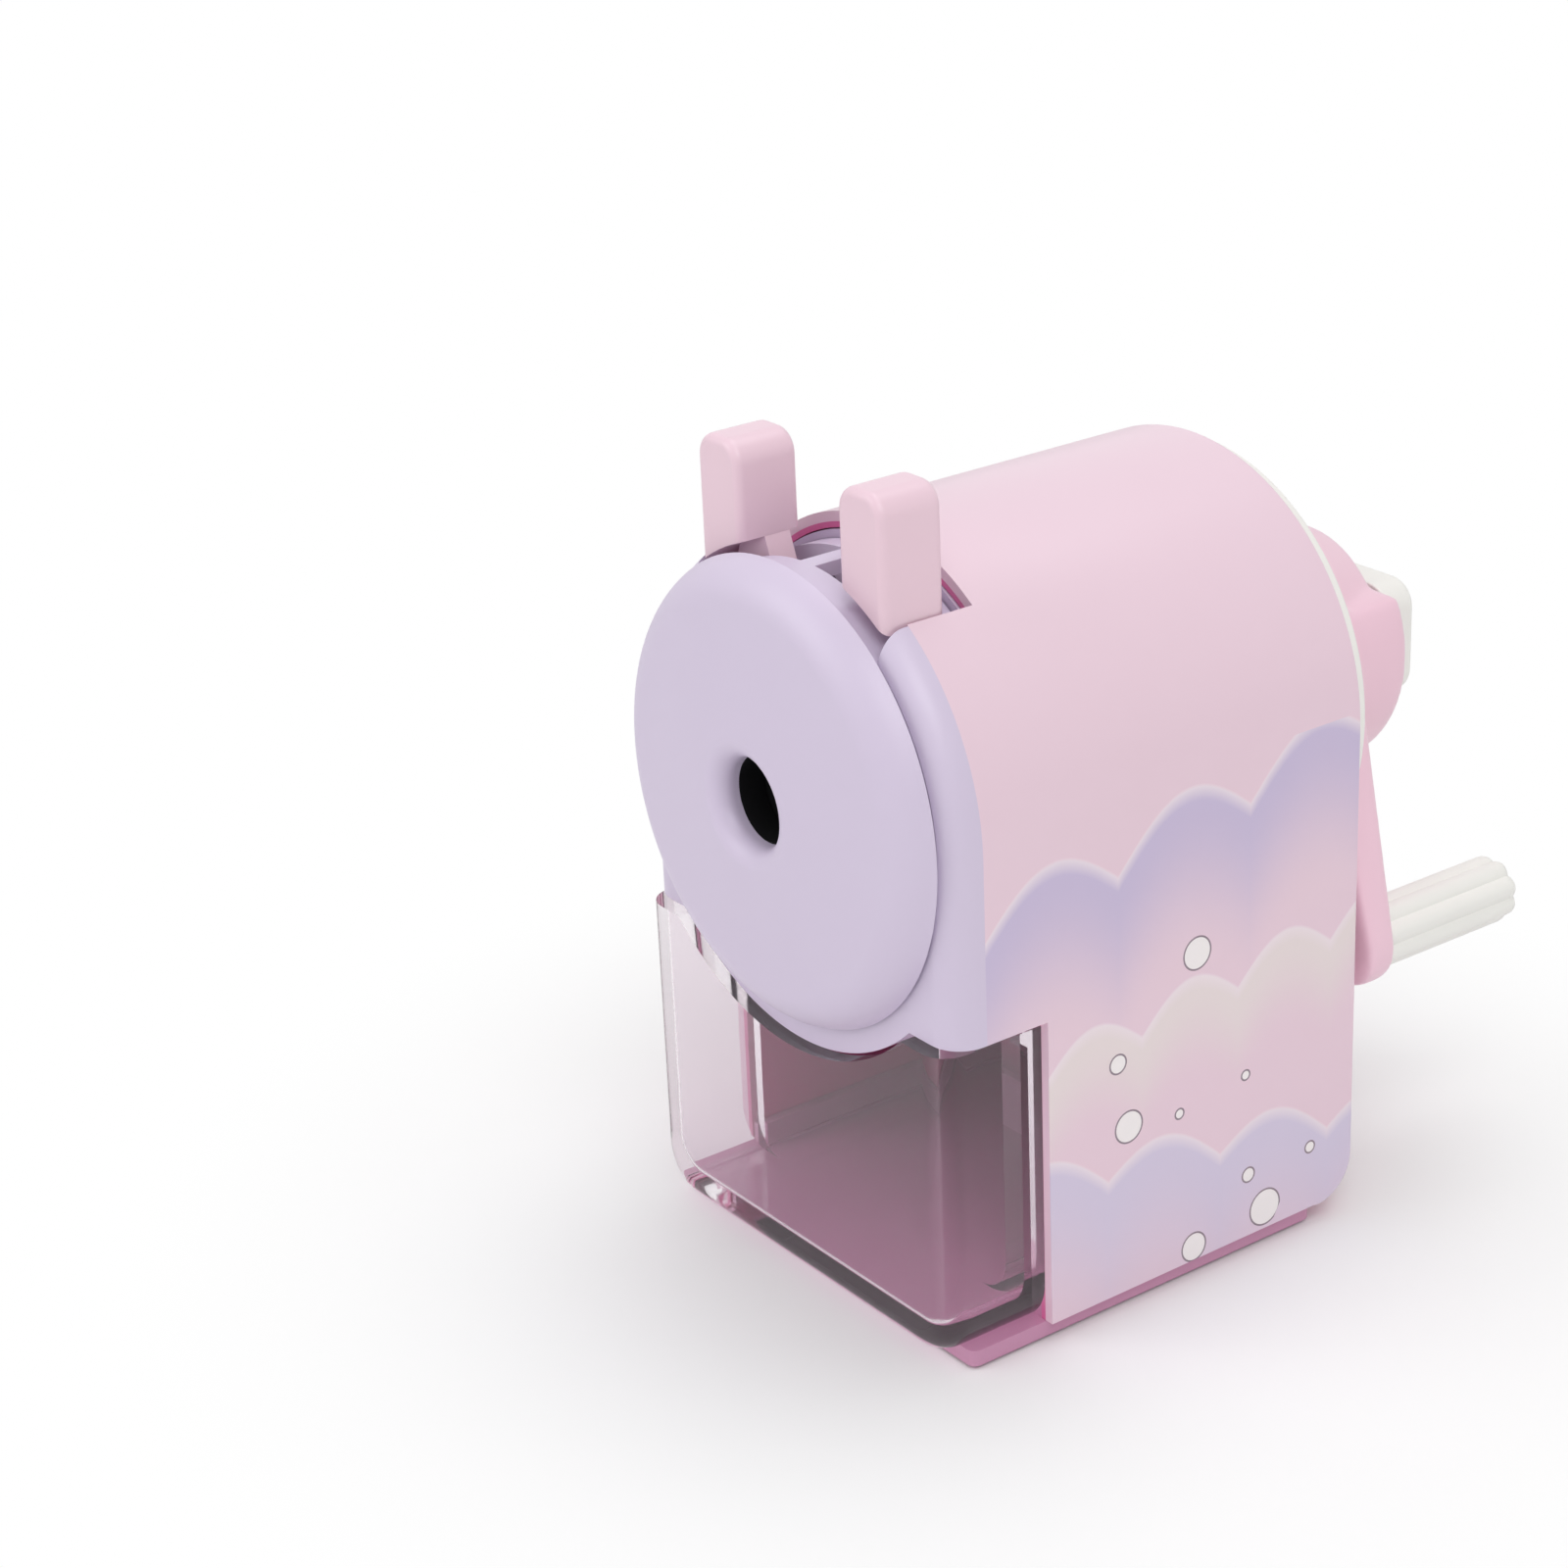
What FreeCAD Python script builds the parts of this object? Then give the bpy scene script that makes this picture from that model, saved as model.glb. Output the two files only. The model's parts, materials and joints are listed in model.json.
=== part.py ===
"""Crank pencil sharpener with a sprung feed carriage, a geared helical cutter and a chip drawer.

Frame: +Z up, the pencil hole faces -Y, +X to the right of someone who faces the pencil hole.
Origin: the middle of the base's resting face. Lengths in millimetres, angles in degrees.
"""
import FreeCAD, Part
import math
import os
import re

import Sketcher

Vec = FreeCAD.Vector
X_AXIS = Vec(1, 0, 0)
Y_AXIS = Vec(0, 1, 0)
Z_AXIS = Vec(0, 0, 1)

# Names and signs of the two sides
SIDES = (("left", -1), ("right", 1))

# Half of the lever sectors' spread, in tooth spacings
SECTOR_SPREAD = 1.25

# Range and fineness of the search for the cutter axle's tilt, in radians
LEAST_TILT = 0.02
MOST_TILT = 0.6
TILT_STEP = 1e-7

# Lean of the gear teeth's flanks
TOOTH_FLANK = 20

# How far a cutting tool runs past the faces that it cuts
OVERCUT = 1.0

# Share of a blade's spacing where its edge begins and that the edge takes, and spans of the blades' twist
CUTTER_CREST = 0.62
CUTTER_LAND = 0.14
CUTTER_STEPS = 8

# Driving dimensions: alias, value, what it is
SIZES = [
    ("shell_width", 68.0, "shell, outside width"),
    ("shell_depth", 65.0, "shell, front edge to rear face"),
    ("shell_wall", 2.2, "shell wall"),
    ("shell_lift", 2.9, "lower edge of the shell above the table"),
    ("shell_corner", 6.5, "rounding of the shell's rear lower corners"),
    ("shell_edge", 0.8, "rounding of the shell's rear edge"),
    ("axis_height", 73.5, "pencil, crank and arch axis above the table"),
    ("window_depth", 10.0, "side windows, front to back"),
    ("window_top", 48.0, "top of the side windows and of the drawer's place"),
    ("notch_inset", 14.0, "lever notch inside the shell's outer face"),
    ("notch_set", 0.3, "lever notch's rear edge behind the bulkhead's front"),
    ("base_set", 6.5, "base plate's rear edge in front of the shell's rear face"),
    ("base_inset", 1.3, "base plate inside the shell's outer face"),
    ("base_lead", 2.5, "base plate in front of the shell's edge"),
    ("base_round", 1.2, "rounding of the base plate's corners seen from above"),
    ("lip_wall", 1.8, "wall of the lip that locates the shell"),
    ("lip_height", 4.0, "lip above the base plate"),
    ("lip_rear_height", 9.0, "rear lip above the base plate"),
    ("pad_proud", 0.6, "anti-slip pad below the base plate"),
    ("pad_sunk", 0.9, "anti-slip pad inside the base plate"),
    ("pad_margin", 5.0, "anti-slip pad from the base plate's edges"),
    ("pad_corner", 4.0, "anti-slip pad's corners"),
    ("bezel_inset", 0.7, "front frame inside the shell's outer face"),
    ("bezel_depth", 5.3, "front frame in front of the shell's edge"),
    ("bezel_round", 4.0, "rounding of the front frame's outer edge"),
    ("collar_wall", 4.4, "front frame's collar below the carriage"),
    ("bulkhead_gap", 0.3, "bulkhead behind the carriage plate"),
    ("bulkhead_wall", 2.4, "bulkhead thickness"),
    ("seat_gap", 0.2, "clearance of a piece seated in another"),
    ("slide_gap", 0.6, "clearance round the sliding carriage and drawer"),
    ("disc_margin", 1.5, "face disc inside the shell's outer face"),
    ("disc_gap", 0.5, "gap between the face disc and the front frame"),
    ("disc_thick", 3.6, "face disc"),
    ("disc_round", 2.6, "rounding of the face disc's rim"),
    ("disc_dome", 3.2, "rise of the face disc's middle over its rim"),
    ("disc_skin", 3.0, "wall of the hollow face disc"),
    ("hole_radius", 6.1, "pencil hole"),
    ("hole_flare", 2.2, "lead-in of the pencil hole"),
    ("hole_wall", 2.2, "tube round the pencil hole"),
    ("drum_margin", 2.8, "carriage drum inside the front frame's outer face"),
    ("drum_wall", 2.0, "carriage drum wall"),
    ("plate_thick", 3.2, "carriage plate"),
    ("plate_gap", 2.0, "carriage plate behind the lever stems"),
    ("bridge_gap", 0.9, "closed part of the drum's top in front of the lever stems"),
    ("post_half", 1.5, "half width of the drum's post between the levers"),
    ("pass_gap", 0.4, "pencil's way through the inner walls, wider than the pencil hole"),
    ("lever_gap", 0.4, "lever pad inside the notch's side"),
    ("lever_width", 9.0, "lever pad, side to side"),
    ("lever_depth", 9.8, "lever pad, front to back"),
    ("lever_set", 1.9, "lever pad's front behind the front frame's face"),
    ("lever_rise", 12.0, "lever pad's top above the face disc's rim"),
    ("lever_lift", 0.5, "lever pad's lower edge outside the face disc's rim"),
    ("lever_crown", 3.3, "rounding of the lever pad's upper corners seen from the front"),
    ("lever_round", 1.3, "rounding of the lever pad's front and rear edges"),
    ("lever_skin", 1.8, "wall of the hollow lever pad"),
    ("stem_set", 3.9, "lever stem behind the lever pad's front"),
    ("stem_thick", 4.0, "lever stem, front to back"),
    ("pivot_inset", 0.6, "lever pivot inside the lever pad's inner side"),
    ("pivot_set", 15.0, "lever pivot below the face disc's rim"),
    ("pivot_boss", 4.6, "lever pivot boss"),
    ("pin_radius", 1.5, "lever pivot pin"),
    ("pin_gap", 0.08, "running clearance of pins, rods and shafts"),
    ("sector_teeth", 12.0, "teeth of a full circle of the lever sectors"),
    ("jaw_half", 6.5, "jaw above and below the pencil axis"),
    ("jaw_reach", 0.5, "jaw's outer side outside the lever pivot"),
    ("jaw_gap", 0.4, "half of the gap between the closed jaws"),
    ("jaw_bore", 3.0, "round groove of the closed jaws"),
    ("jaw_thick", 5.0, "jaw, front to back"),
    ("rod_inset", 5.5, "guide rod inside the drum's outer face"),
    ("rod_drop", 11.5, "guide rod below the pencil axis"),
    ("rod_radius", 1.75, "guide rod"),
    ("rod_boss", 4.0, "guide boss on the bulkhead"),
    ("rod_boss_length", 5.6, "guide boss behind the bulkhead"),
    ("clip_radius", 3.6, "clip at the guide rod's rear end"),
    ("clip_thick", 1.0, "clip at the guide rod's rear end"),
    ("clip_set", 1.4, "clip in front of the guide rod's rear end"),
    ("rod_clear", 2.0, "guide rod's rear end in front of the rear wall"),
    ("spring_wire", 0.6, "feed spring wire"),
    ("spring_radius", 2.7, "feed spring, middle of the wire"),
    ("spring_turns", 9.0, "feed spring turns"),
    ("lever_spring_wire", 0.4, "lever spring wire"),
    ("lever_spring_radius", 1.2, "lever spring, middle of the wire"),
    ("lever_spring_turns", 5.0, "lever spring turns"),
    ("lever_spring_gap", 0.2, "lever spring inside the drum"),
    ("housing_gap", 0.5, "cutter housing to the guide bosses"),
    ("housing_wall", 2.0, "cutter housing wall"),
    ("housing_set", 7.4, "cutter housing's rear in front of the rear wall"),
    ("chip_half", 13.0, "half width of the housing's chip opening"),
    ("chip_end", 4.0, "chip opening in front of the housing's rear wall"),
    ("chip_set", 7.0, "chip opening behind the housing's front"),
    ("ear_radius", 3.4, "housing's screw ears"),
    ("ear_thick", 2.6, "housing's screw ears"),
    ("ear_angle", 58.0, "screw ears from the horizontal"),
    ("screw_radius", 1.3, "small screws"),
    ("screw_head", 2.4, "small screws' heads"),
    ("screw_head_thick", 1.5, "small screws' heads"),
    ("bush_radius", 6.5, "shaft bush, outside"),
    ("bush_wall_boss", 2.2, "housing boss round the bush"),
    ("shaft_radius", 4.0, "crank shaft"),
    ("stop_radius", 1.5, "stop rod"),
    ("stop_lead", 0.5, "stop rod in front of the carrier's rear plate"),
    ("ring_teeth", 36.0, "ring gear teeth"),
    ("pinion_teeth", 12.0, "pinion teeth"),
    ("ring_rim", 3.0, "ring gear from its pitch circle to the housing"),
    ("gear_face", 4.0, "face width of ring gear and pinion"),
    ("gear_backlash", 0.45, "play of the gear teeth at the pitch circle"),
    ("tooth_tip", 0.75, "tooth height outside the pitch line, in modules"),
    ("tooth_root", 1.15, "tooth depth inside the pitch line, in modules"),
    ("pinion_gap", 0.46, "pinion behind the carrier's front plate"),
    ("point_reach", 0.08, "blades past the pencil axis at the cutter's rear"),
    ("cutter_radius", 6.8, "helical cutter, outside"),
    ("cutter_flute", 1.1, "depth of the cutter's flutes"),
    ("cutter_teeth", 14.0, "blades of the helical cutter"),
    ("cutter_twist", 75.0, "turn of the blades from end to end"),
    ("cutter_gap", 1.6, "pinion to the cutter's blades"),
    ("axle_radius", 1.5, "cutter axle"),
    ("carrier_clear", 2.0, "carrier plates inside the ring gear's pitch circle"),
    ("carrier_front", 2.0, "carrier front plate"),
    ("carrier_rear", 3.5, "carrier rear plate"),
    ("carrier_gap", 0.8, "carrier front plate behind the bulkhead"),
    ("carrier_wall", 2.4, "carrier web"),
    ("carrier_hub", 7.5, "carrier hub"),
    ("carrier_play", 1.6, "carrier rear plate behind the cutter"),
    ("carrier_set", 1.0, "carrier rear plate in front of the housing's rear wall"),
    ("ring_inset", 3.0, "white ring inside the shell's outer face"),
    ("ring_thick", 2.2, "white ring"),
    ("flange_gap", 0.5, "crank flange behind the white ring"),
    ("flange_inset", 3.5, "crank flange inside the white ring"),
    ("flange_thick", 2.3, "crank flange"),
    ("flange_round", 1.0, "rounding of the crank flange"),
    ("boss_root", 25.0, "crank boss at the flange"),
    ("boss_radius", 15.6, "crank boss at its end"),
    ("boss_length", 18.6, "crank boss behind the flange"),
    ("cheek_root", 21.5, "boss's broad lower part at the flange"),
    ("cheek_radius", 19.8, "boss's broad lower part at its end"),
    ("cheek_rise", 8.8, "boss's broad lower part above the crank axis"),
    ("cheek_round", 2.6, "rounding of the boss's broad lower part"),
    ("arm_radius", 45.2, "crank axis to handle axis"),
    ("arm_angle", 52.0, "arm below the horizontal"),
    ("arm_hub", 20.5, "half width of the arm at the hub"),
    ("arm_end", 7.0, "half width of the arm at the handle"),
    ("arm_thick", 4.7, "crank arm at the handle"),
    ("arm_swell", 8.8, "crank arm thicker at the crank axis than at the handle"),
    ("arm_set", 0.6, "arm behind the flange's front"),
    ("arm_round", 1.6, "rounding of the arm's rear edge"),
    ("nut_radius", 6.0, "crank nut"),
    ("nut_thick", 3.0, "crank nut"),
    ("knob_half", 14.6, "half length of the adjuster knob"),
    ("knob_rise", 8.6, "half height of the adjuster knob"),
    ("knob_corner", 4.0, "rounding of the knob's corners"),
    ("knob_thick", 5.6, "adjuster knob's cap"),
    ("knob_round", 1.4, "rounding of the knob's rear edge"),
    ("knob_gap", 0.6, "knob's cap behind the crank boss"),
    ("knob_stem", 5.0, "adjuster knob's stem"),
    ("knob_stem_length", 3.4, "adjuster knob's stem"),
    ("stop_travel", 2.0, "stop rod's travel"),
    ("grip_length", 25.4, "handle grip"),
    ("grip_radius", 4.9, "handle grip over its ribs"),
    ("grip_groove", 0.7, "depth of the grip's grooves"),
    ("grip_ribs", 8.0, "ribs of the handle grip"),
    ("grip_gap", 0.4, "grip behind the arm"),
    ("grip_end", 3.0, "closed end of the grip"),
    ("grip_pin", 2.0, "handle pin"),
    ("drawer_inset", 0.7, "drawer's front inside the shell's outer face"),
    ("drawer_lead", 1.7, "drawer's front in front of the front frame"),
    ("drawer_wall", 2.2, "drawer wall"),
    ("drawer_front_wall", 2.6, "drawer's front panel"),
    ("drawer_corner", 7.5, "drawer's lower corners"),
    ("drawer_round", 1.8, "rounding of the drawer's front edges"),
    ("drawer_drop", 1.5, "drawer's front below its floor"),
    ("drawer_lift", 0.3, "drawer's floor above the base plate"),
    ("drawer_rear_gap", 1.7, "drawer in front of the base plate's rear lip"),
    ("drawer_side_gap", 0.5, "drawer inside the shell and the lips"),
    ("drawer_low", 40.0, "height of the drawer behind the windows"),
]

# Places worked out from the driving dimensions: alias, formula
PLACES = [
    ("half_width", "shell_width / 2"),
    ("base_depth", "shell_depth + base_lead - base_set"),
    ("shell_front", "base_lead - base_depth / 2"),
    ("shell_rear", "shell_front + shell_depth"),
    ("wall_inner", "half_width - shell_wall"),
    ("rear_wall", "shell_rear - shell_wall"),
    ("base_top", "shell_lift"),
    ("base_half", "half_width - base_inset"),
    ("bezel_half", "half_width - bezel_inset"),
    ("frame_front", "shell_front - bezel_depth"),
    ("disc_radius", "half_width - disc_margin"),
    ("disc_back", "frame_front - disc_gap"),
    ("disc_front", "disc_back - disc_thick"),
    ("disc_apex", "disc_front - disc_dome"),
    ("dome_radius", "(disc_radius * disc_radius + disc_dome * disc_dome) / (2 * disc_dome)"),
    ("drum_radius", "bezel_half - drum_margin"),
    ("pocket_radius", "drum_radius + slide_gap"),
    ("collar_radius", "pocket_radius + collar_wall"),
    ("pass_radius", "hole_radius + pass_gap"),
    ("notch_half", "half_width - notch_inset"),
    ("lever_out", "notch_half - lever_gap"),
    ("lever_in", "lever_out - lever_width"),
    ("lever_front", "frame_front + lever_set"),
    ("lever_back", "lever_front + lever_depth"),
    ("lever_top", "axis_height + disc_radius + lever_rise"),
    ("lever_seat", "disc_radius + lever_lift"),
    ("stem_front", "lever_front + stem_set"),
    ("stem_back", "stem_front + stem_thick"),
    ("jaw_front", "stem_front - jaw_thick"),
    ("pivot_out", "lever_in - pivot_inset"),
    ("pivot_rise", "disc_radius - pivot_set"),
    ("pivot_height", "axis_height + pivot_rise"),
    ("jaw_out", "pivot_out + jaw_reach"),
    ("plate_front", "stem_back + plate_gap"),
    ("plate_rear", "plate_front + plate_thick"),
    ("bulkhead_front", "plate_rear + bulkhead_gap"),
    ("bulkhead_rear", "bulkhead_front + bulkhead_wall"),
    ("rod_out", "drum_radius - rod_inset"),
    ("rod_height", "axis_height - rod_drop"),
    ("rod_rear", "rear_wall - rod_clear"),
    ("clip_rear", "rod_rear - clip_set"),
    ("clip_front", "clip_rear - clip_thick"),
    ("rod_boss_rear", "bulkhead_rear + rod_boss_length"),
    ("lever_spring_out", "lever_spring_radius + lever_spring_wire / 2"),
    ("lever_spring_rise", "drum_radius - drum_wall - lever_spring_out - lever_spring_gap"),
    ("housing_radius", "sqrt(rod_out * rod_out + rod_drop * rod_drop) - rod_boss - housing_gap"),
    ("housing_inner", "housing_radius - housing_wall"),
    ("housing_rear", "rear_wall - housing_set"),
    ("housing_wall_front", "housing_rear - housing_wall"),
    ("ring_pitch", "housing_inner - ring_rim"),
    ("carrier_radius", "ring_pitch - carrier_clear"),
    ("carrier_back", "housing_wall_front - carrier_set"),
    ("carrier_inner", "carrier_back - carrier_rear"),
    ("ring_radius", "half_width - ring_inset"),
    ("collar_rear", "shell_rear + ring_thick"),
    ("bush_rear", "collar_rear"),
    ("boss_outer", "bush_radius + bush_wall_boss"),
    ("flange_radius", "ring_radius - flange_inset"),
    ("flange_front", "collar_rear + flange_gap"),
    ("flange_rear", "flange_front + flange_thick"),
    ("boss_rear", "flange_rear + boss_length"),
    ("arm_front", "flange_front + arm_set"),
    ("arm_rear", "arm_front + arm_thick"),
    ("handle_x", "arm_radius * cos(arm_angle)"),
    ("handle_z", "axis_height - arm_radius * sin(arm_angle)"),
    ("grip_front", "arm_rear + grip_gap"),
    ("grip_rear", "grip_front + grip_length"),
    ("knob_front", "boss_rear + knob_gap"),
    ("knob_rear", "knob_front + knob_thick"),
    ("knob_stem_front", "knob_front - knob_stem_length"),
    ("nut_rear", "knob_stem_front - flange_gap"),
    ("nut_front", "nut_rear - nut_thick"),
    ("drawer_half", "half_width - drawer_inset"),
    ("drawer_front", "frame_front - drawer_lead"),
    ("drawer_rear", "base_depth / 2 - lip_wall - drawer_rear_gap"),
    ("drawer_floor", "base_top + drawer_lift"),
    ("drawer_top", "window_top - slide_gap"),
    ("drawer_back_half", "wall_inner - lip_wall - drawer_side_gap"),
    ("drawer_step", "shell_front + window_depth - slide_gap"),
    ("drawer_arc", "collar_radius + slide_gap"),
]

doc = FreeCAD.newDocument("pencil_sharpener")
sizes = doc.addObject("Spreadsheet::Sheet", "sizes")
places = doc.addObject("Spreadsheet::Sheet", "places")
SHEET_OF = {}


def bound(text):
    """Formula with every alias led by the sheet that holds it."""
    def lead(match):
        word = match.group(0)
        if word not in SHEET_OF:
            return word
        return SHEET_OF[word] + "." + word
    return re.sub(r"[A-Za-z_]\w*", lead, str(text))


def fill_sheets():
    """Driving dimensions as numbers, places as formulas, both under their aliases."""
    for row, (alias, number, note) in enumerate(SIZES, start=1):
        sizes.set(f"A{row}", note)
        sizes.set(f"B{row}", str(number))
        sizes.setAlias(f"B{row}", alias)
        SHEET_OF[alias] = "sizes"
    doc.recompute()
    for row, (alias, formula) in enumerate(PLACES, start=1):
        places.set(f"B{row}", "=" + bound(formula).replace("places.", ""))
        places.setAlias(f"B{row}", alias)
        SHEET_OF[alias] = "places"
    doc.recompute()


fill_sheets()
probe = doc.addObject("App::FeaturePython", "probe")
probe.addProperty("App::PropertyFloat", "Value")
nodes = []


def value(text):
    """Number that a formula of the sheets' aliases has now."""
    probe.setExpression("Value", bound(text))
    probe.recompute()
    return probe.Value


def count(alias):
    """Whole number held under an alias."""
    return int(round(value(alias)))


def bind(thing, **formulas):
    """Bind properties to formulas; a double underscore in a name stands for a dot."""
    for name, formula in formulas.items():
        thing.setExpression(name.replace("__", "."), bound(formula))
    return thing


def place(thing, x=0, y=0, z=0):
    """Bind the place of an object to formulas."""
    return bind(thing, Placement__Base__x=x, Placement__Base__y=y, Placement__Base__z=z)


def block(name, x, y, z):
    """Box between pairs of formulas along the three axes."""
    box = doc.addObject("Part::Box", name)
    bind(box, Length=f"({x[1]}) - ({x[0]})", Width=f"({y[1]}) - ({y[0]})", Height=f"({z[1]}) - ({z[0]})")
    return place(box, x[0], y[0], z[0])


def turn_to_y(thing):
    """Lay an object that was made along Z along Y."""
    thing.Placement = FreeCAD.Placement(Vec(), FreeCAD.Rotation(X_AXIS, -90))
    return thing


def before(formula):
    """Formula for a little in front of, under or left of a face."""
    return f"({formula}) - {OVERCUT}"


def after(formula):
    """Formula for a little behind, over or right of a face."""
    return f"({formula}) + {OVERCUT}"


def bar(name, radius, y, x=0, z="axis_height"):
    """Cylinder along Y between two formulas."""
    cylinder = turn_to_y(doc.addObject("Part::Cylinder", name))
    bind(cylinder, Radius=radius, Height=f"({y[1]}) - ({y[0]})")
    return place(cylinder, x, y[0], z)


def drill(name, radius, y, x=0, z="axis_height"):
    """Cylinder along Y that runs past both formulas, to cut a hole with."""
    return bar(name, radius, (before(y[0]), after(y[1])), x, z)


def taper(name, radii, y, x=0, z="axis_height"):
    """Cone along Y between two formulas."""
    cone = turn_to_y(doc.addObject("Part::Cone", name))
    bind(cone, Radius1=radii[0], Radius2=radii[1], Height=f"({y[1]}) - ({y[0]})")
    return place(cone, x, y[0], z)


def fuse(name, *things):
    """Several objects as one solid."""
    union = doc.addObject("Part::MultiFuse", name)
    union.Shapes = list(things)
    union.Refine = True
    return union


def cut(name, base, *tools):
    """One object less others."""
    tool = tools[0]
    if len(tools) > 1:
        tool = doc.addObject("Part::MultiFuse", name + "_tools")
        tool.Shapes = list(tools)
    result = doc.addObject("Part::Cut", name)
    result.Base = base
    result.Tool = tool
    result.Refine = True
    return result


def common(name, *things):
    """What several objects share."""
    shared = doc.addObject("Part::MultiCommon", name)
    shared.Shapes = list(things)
    shared.Refine = True
    return shared


def mirrored(name, thing):
    """Copy on the other side of the middle plane."""
    twin = doc.addObject("Part::Mirroring", name)
    twin.Source = thing
    twin.Normal = X_AXIS
    twin.Base = Vec()
    return twin


def group(name, *things):
    """Separate solids kept in one node."""
    bundle = doc.addObject("Part::Compound", name)
    bundle.Links = list(things)
    return bundle


def shaped(name, shape, placement=None):
    """Object that holds a shape made by its own function."""
    holder = doc.addObject("Part::Feature", name)
    holder.Shape = shape
    if placement is not None:
        holder.Placement = placement
    return holder


def rounded(name, base, radius, pick):
    """Base with the picked edges rounded."""
    doc.recompute()
    fillet = doc.addObject("Part::Fillet", name)
    fillet.Base = base
    amount = value(radius)
    numbers = [i for i, edge in enumerate(base.Shape.Edges, start=1) if pick(edge)]
    fillet.Edges = [(number, amount, amount) for number in numbers]
    return fillet


def node(label, thing):
    """Name a finished sub-part."""
    thing.Label = label
    nodes.append(thing)
    return thing


def near(a, b):
    """Whether two lengths agree."""
    return abs(a - b) < 1e-4


def flat_in(edge, axis, level):
    """Whether an edge lies in the plane where one coordinate has a level."""
    return all(near(getattr(vertex.Point, axis), level) for vertex in edge.Vertexes)


def runs_along(edge, direction):
    """Whether an edge is straight and parallel to a direction."""
    if not isinstance(edge.Curve, (Part.Line, Part.LineSegment)):
        return False
    return abs(abs(edge.tangentAt(edge.FirstParameter).dot(direction)) - 1) < 1e-6


def plane_of(body, role):
    """Origin plane of a body."""
    return next(feature for feature in body.Origin.OriginFeatures if feature.Role == role)


def new_sketch(body, role, offset):
    """Sketch on an origin plane of a body, moved along the plane's normal."""
    sketch = body.newObject("Sketcher::SketchObject", body.Name + "_sketch")
    sketch.AttachmentSupport = (plane_of(body, role), [""])
    sketch.MapMode = "FlatFace"
    bind(sketch, AttachmentOffset__Base__z=offset)
    return sketch


def fix_point(sketch, index, point, name):
    """Hold the start of a line at a pair of formulas."""
    for kind, formula in zip(("DistanceX", "DistanceY"), point):
        number = sketch.addConstraint(Sketcher.Constraint(kind, -1, 1, index, 1, value(formula)))
        label = f"{name}_{kind}"
        sketch.renameConstraint(number, label)
        sketch.setExpression("Constraints." + label, bound(formula))


def draw_polygon(sketch, points):
    """Closed polygon whose corners are pairs of formulas."""
    corners = [Vec(value(a), value(b), 0) for a, b in points]
    total = len(corners)
    for i, corner in enumerate(corners):
        sketch.addGeometry(Part.LineSegment(corner, corners[(i + 1) % total]))
    for i in range(total):
        sketch.addConstraint(Sketcher.Constraint("Coincident", i, 2, (i + 1) % total, 1))
    for i, point in enumerate(points):
        fix_point(sketch, i, point, f"corner_{i}")


def prism(name, points, y):
    """Polygon in X and Z, padded along Y between two formulas."""
    body = doc.addObject("PartDesign::Body", name)
    sketch = new_sketch(body, "XZ_Plane", f"-({y[0]})")
    draw_polygon(sketch, points)
    doc.recompute()
    pad = body.newObject("PartDesign::Pad", name + "_pad")
    pad.Profile = sketch
    pad.Reversed = True
    bind(pad, Length=f"({y[1]}) - ({y[0]})")
    doc.recompute()
    return body


def turned(name, points):
    """Polygon of radius and Y, turned round the pencil axis."""
    body = doc.addObject("PartDesign::Body", name)
    sketch = new_sketch(body, "XY_Plane", "axis_height")
    draw_polygon(sketch, points)
    doc.recompute()
    spin = body.newObject("PartDesign::Revolution", name + "_spin")
    spin.Profile = sketch
    spin.ReferenceAxis = (sketch, ["V_Axis"])
    spin.Angle = 360
    doc.recompute()
    return body


def arch(name, half, bottom, y):
    """Tunnel outline, two upright sides under a half circle about the axis, padded along Y."""
    body = doc.addObject("PartDesign::Body", name)
    sketch = new_sketch(body, "XZ_Plane", f"-({y[0]})")
    side, foot, centre = value(half), value(bottom), value("axis_height")
    left_foot, right_foot = Vec(-side, foot, 0), Vec(side, foot, 0)
    left_top, right_top = Vec(-side, centre, 0), Vec(side, centre, 0)
    crown = Part.ArcOfCircle(Part.Circle(Vec(0, centre, 0), Z_AXIS, side), 0, math.pi)
    sketch.addGeometry(Part.LineSegment(left_foot, right_foot))
    sketch.addGeometry(Part.LineSegment(right_foot, right_top))
    sketch.addGeometry(crown)
    sketch.addGeometry(Part.LineSegment(left_top, left_foot))
    for first, second in ((0, 1), (1, 2), (2, 3), (3, 0)):
        sketch.addConstraint(Sketcher.Constraint("Coincident", first, 2, second, 1))
    fix_point(sketch, 0, (f"-({half})", bottom), "left_foot")
    fix_point(sketch, 1, (half, bottom), "right_foot")
    fix_point(sketch, 2, (half, "axis_height"), "right_top")
    fix_point(sketch, 3, (f"-({half})", "axis_height"), "left_top")
    number = sketch.addConstraint(Sketcher.Constraint("DistanceY", -1, 1, 2, 3, centre))
    sketch.renameConstraint(number, "centre_height")
    sketch.setExpression("Constraints.centre_height", bound("axis_height"))
    doc.recompute()
    pad = body.newObject("PartDesign::Pad", name + "_pad")
    pad.Profile = sketch
    pad.Reversed = True
    bind(pad, Length=f"({y[1]}) - ({y[0]})")
    doc.recompute()
    return body


def round_body(body, radius, pick):
    """Round the picked edges of a body's last feature."""
    doc.recompute()
    last = body.Tip
    names = [f"Edge{i}" for i, edge in enumerate(last.Shape.Edges, start=1) if pick(edge)]
    fillet = body.newObject("PartDesign::Fillet", body.Name + "_round")
    fillet.Base = (last, names)
    bind(fillet, Radius=radius)
    doc.recompute()
    return body


# Wire springs


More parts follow.
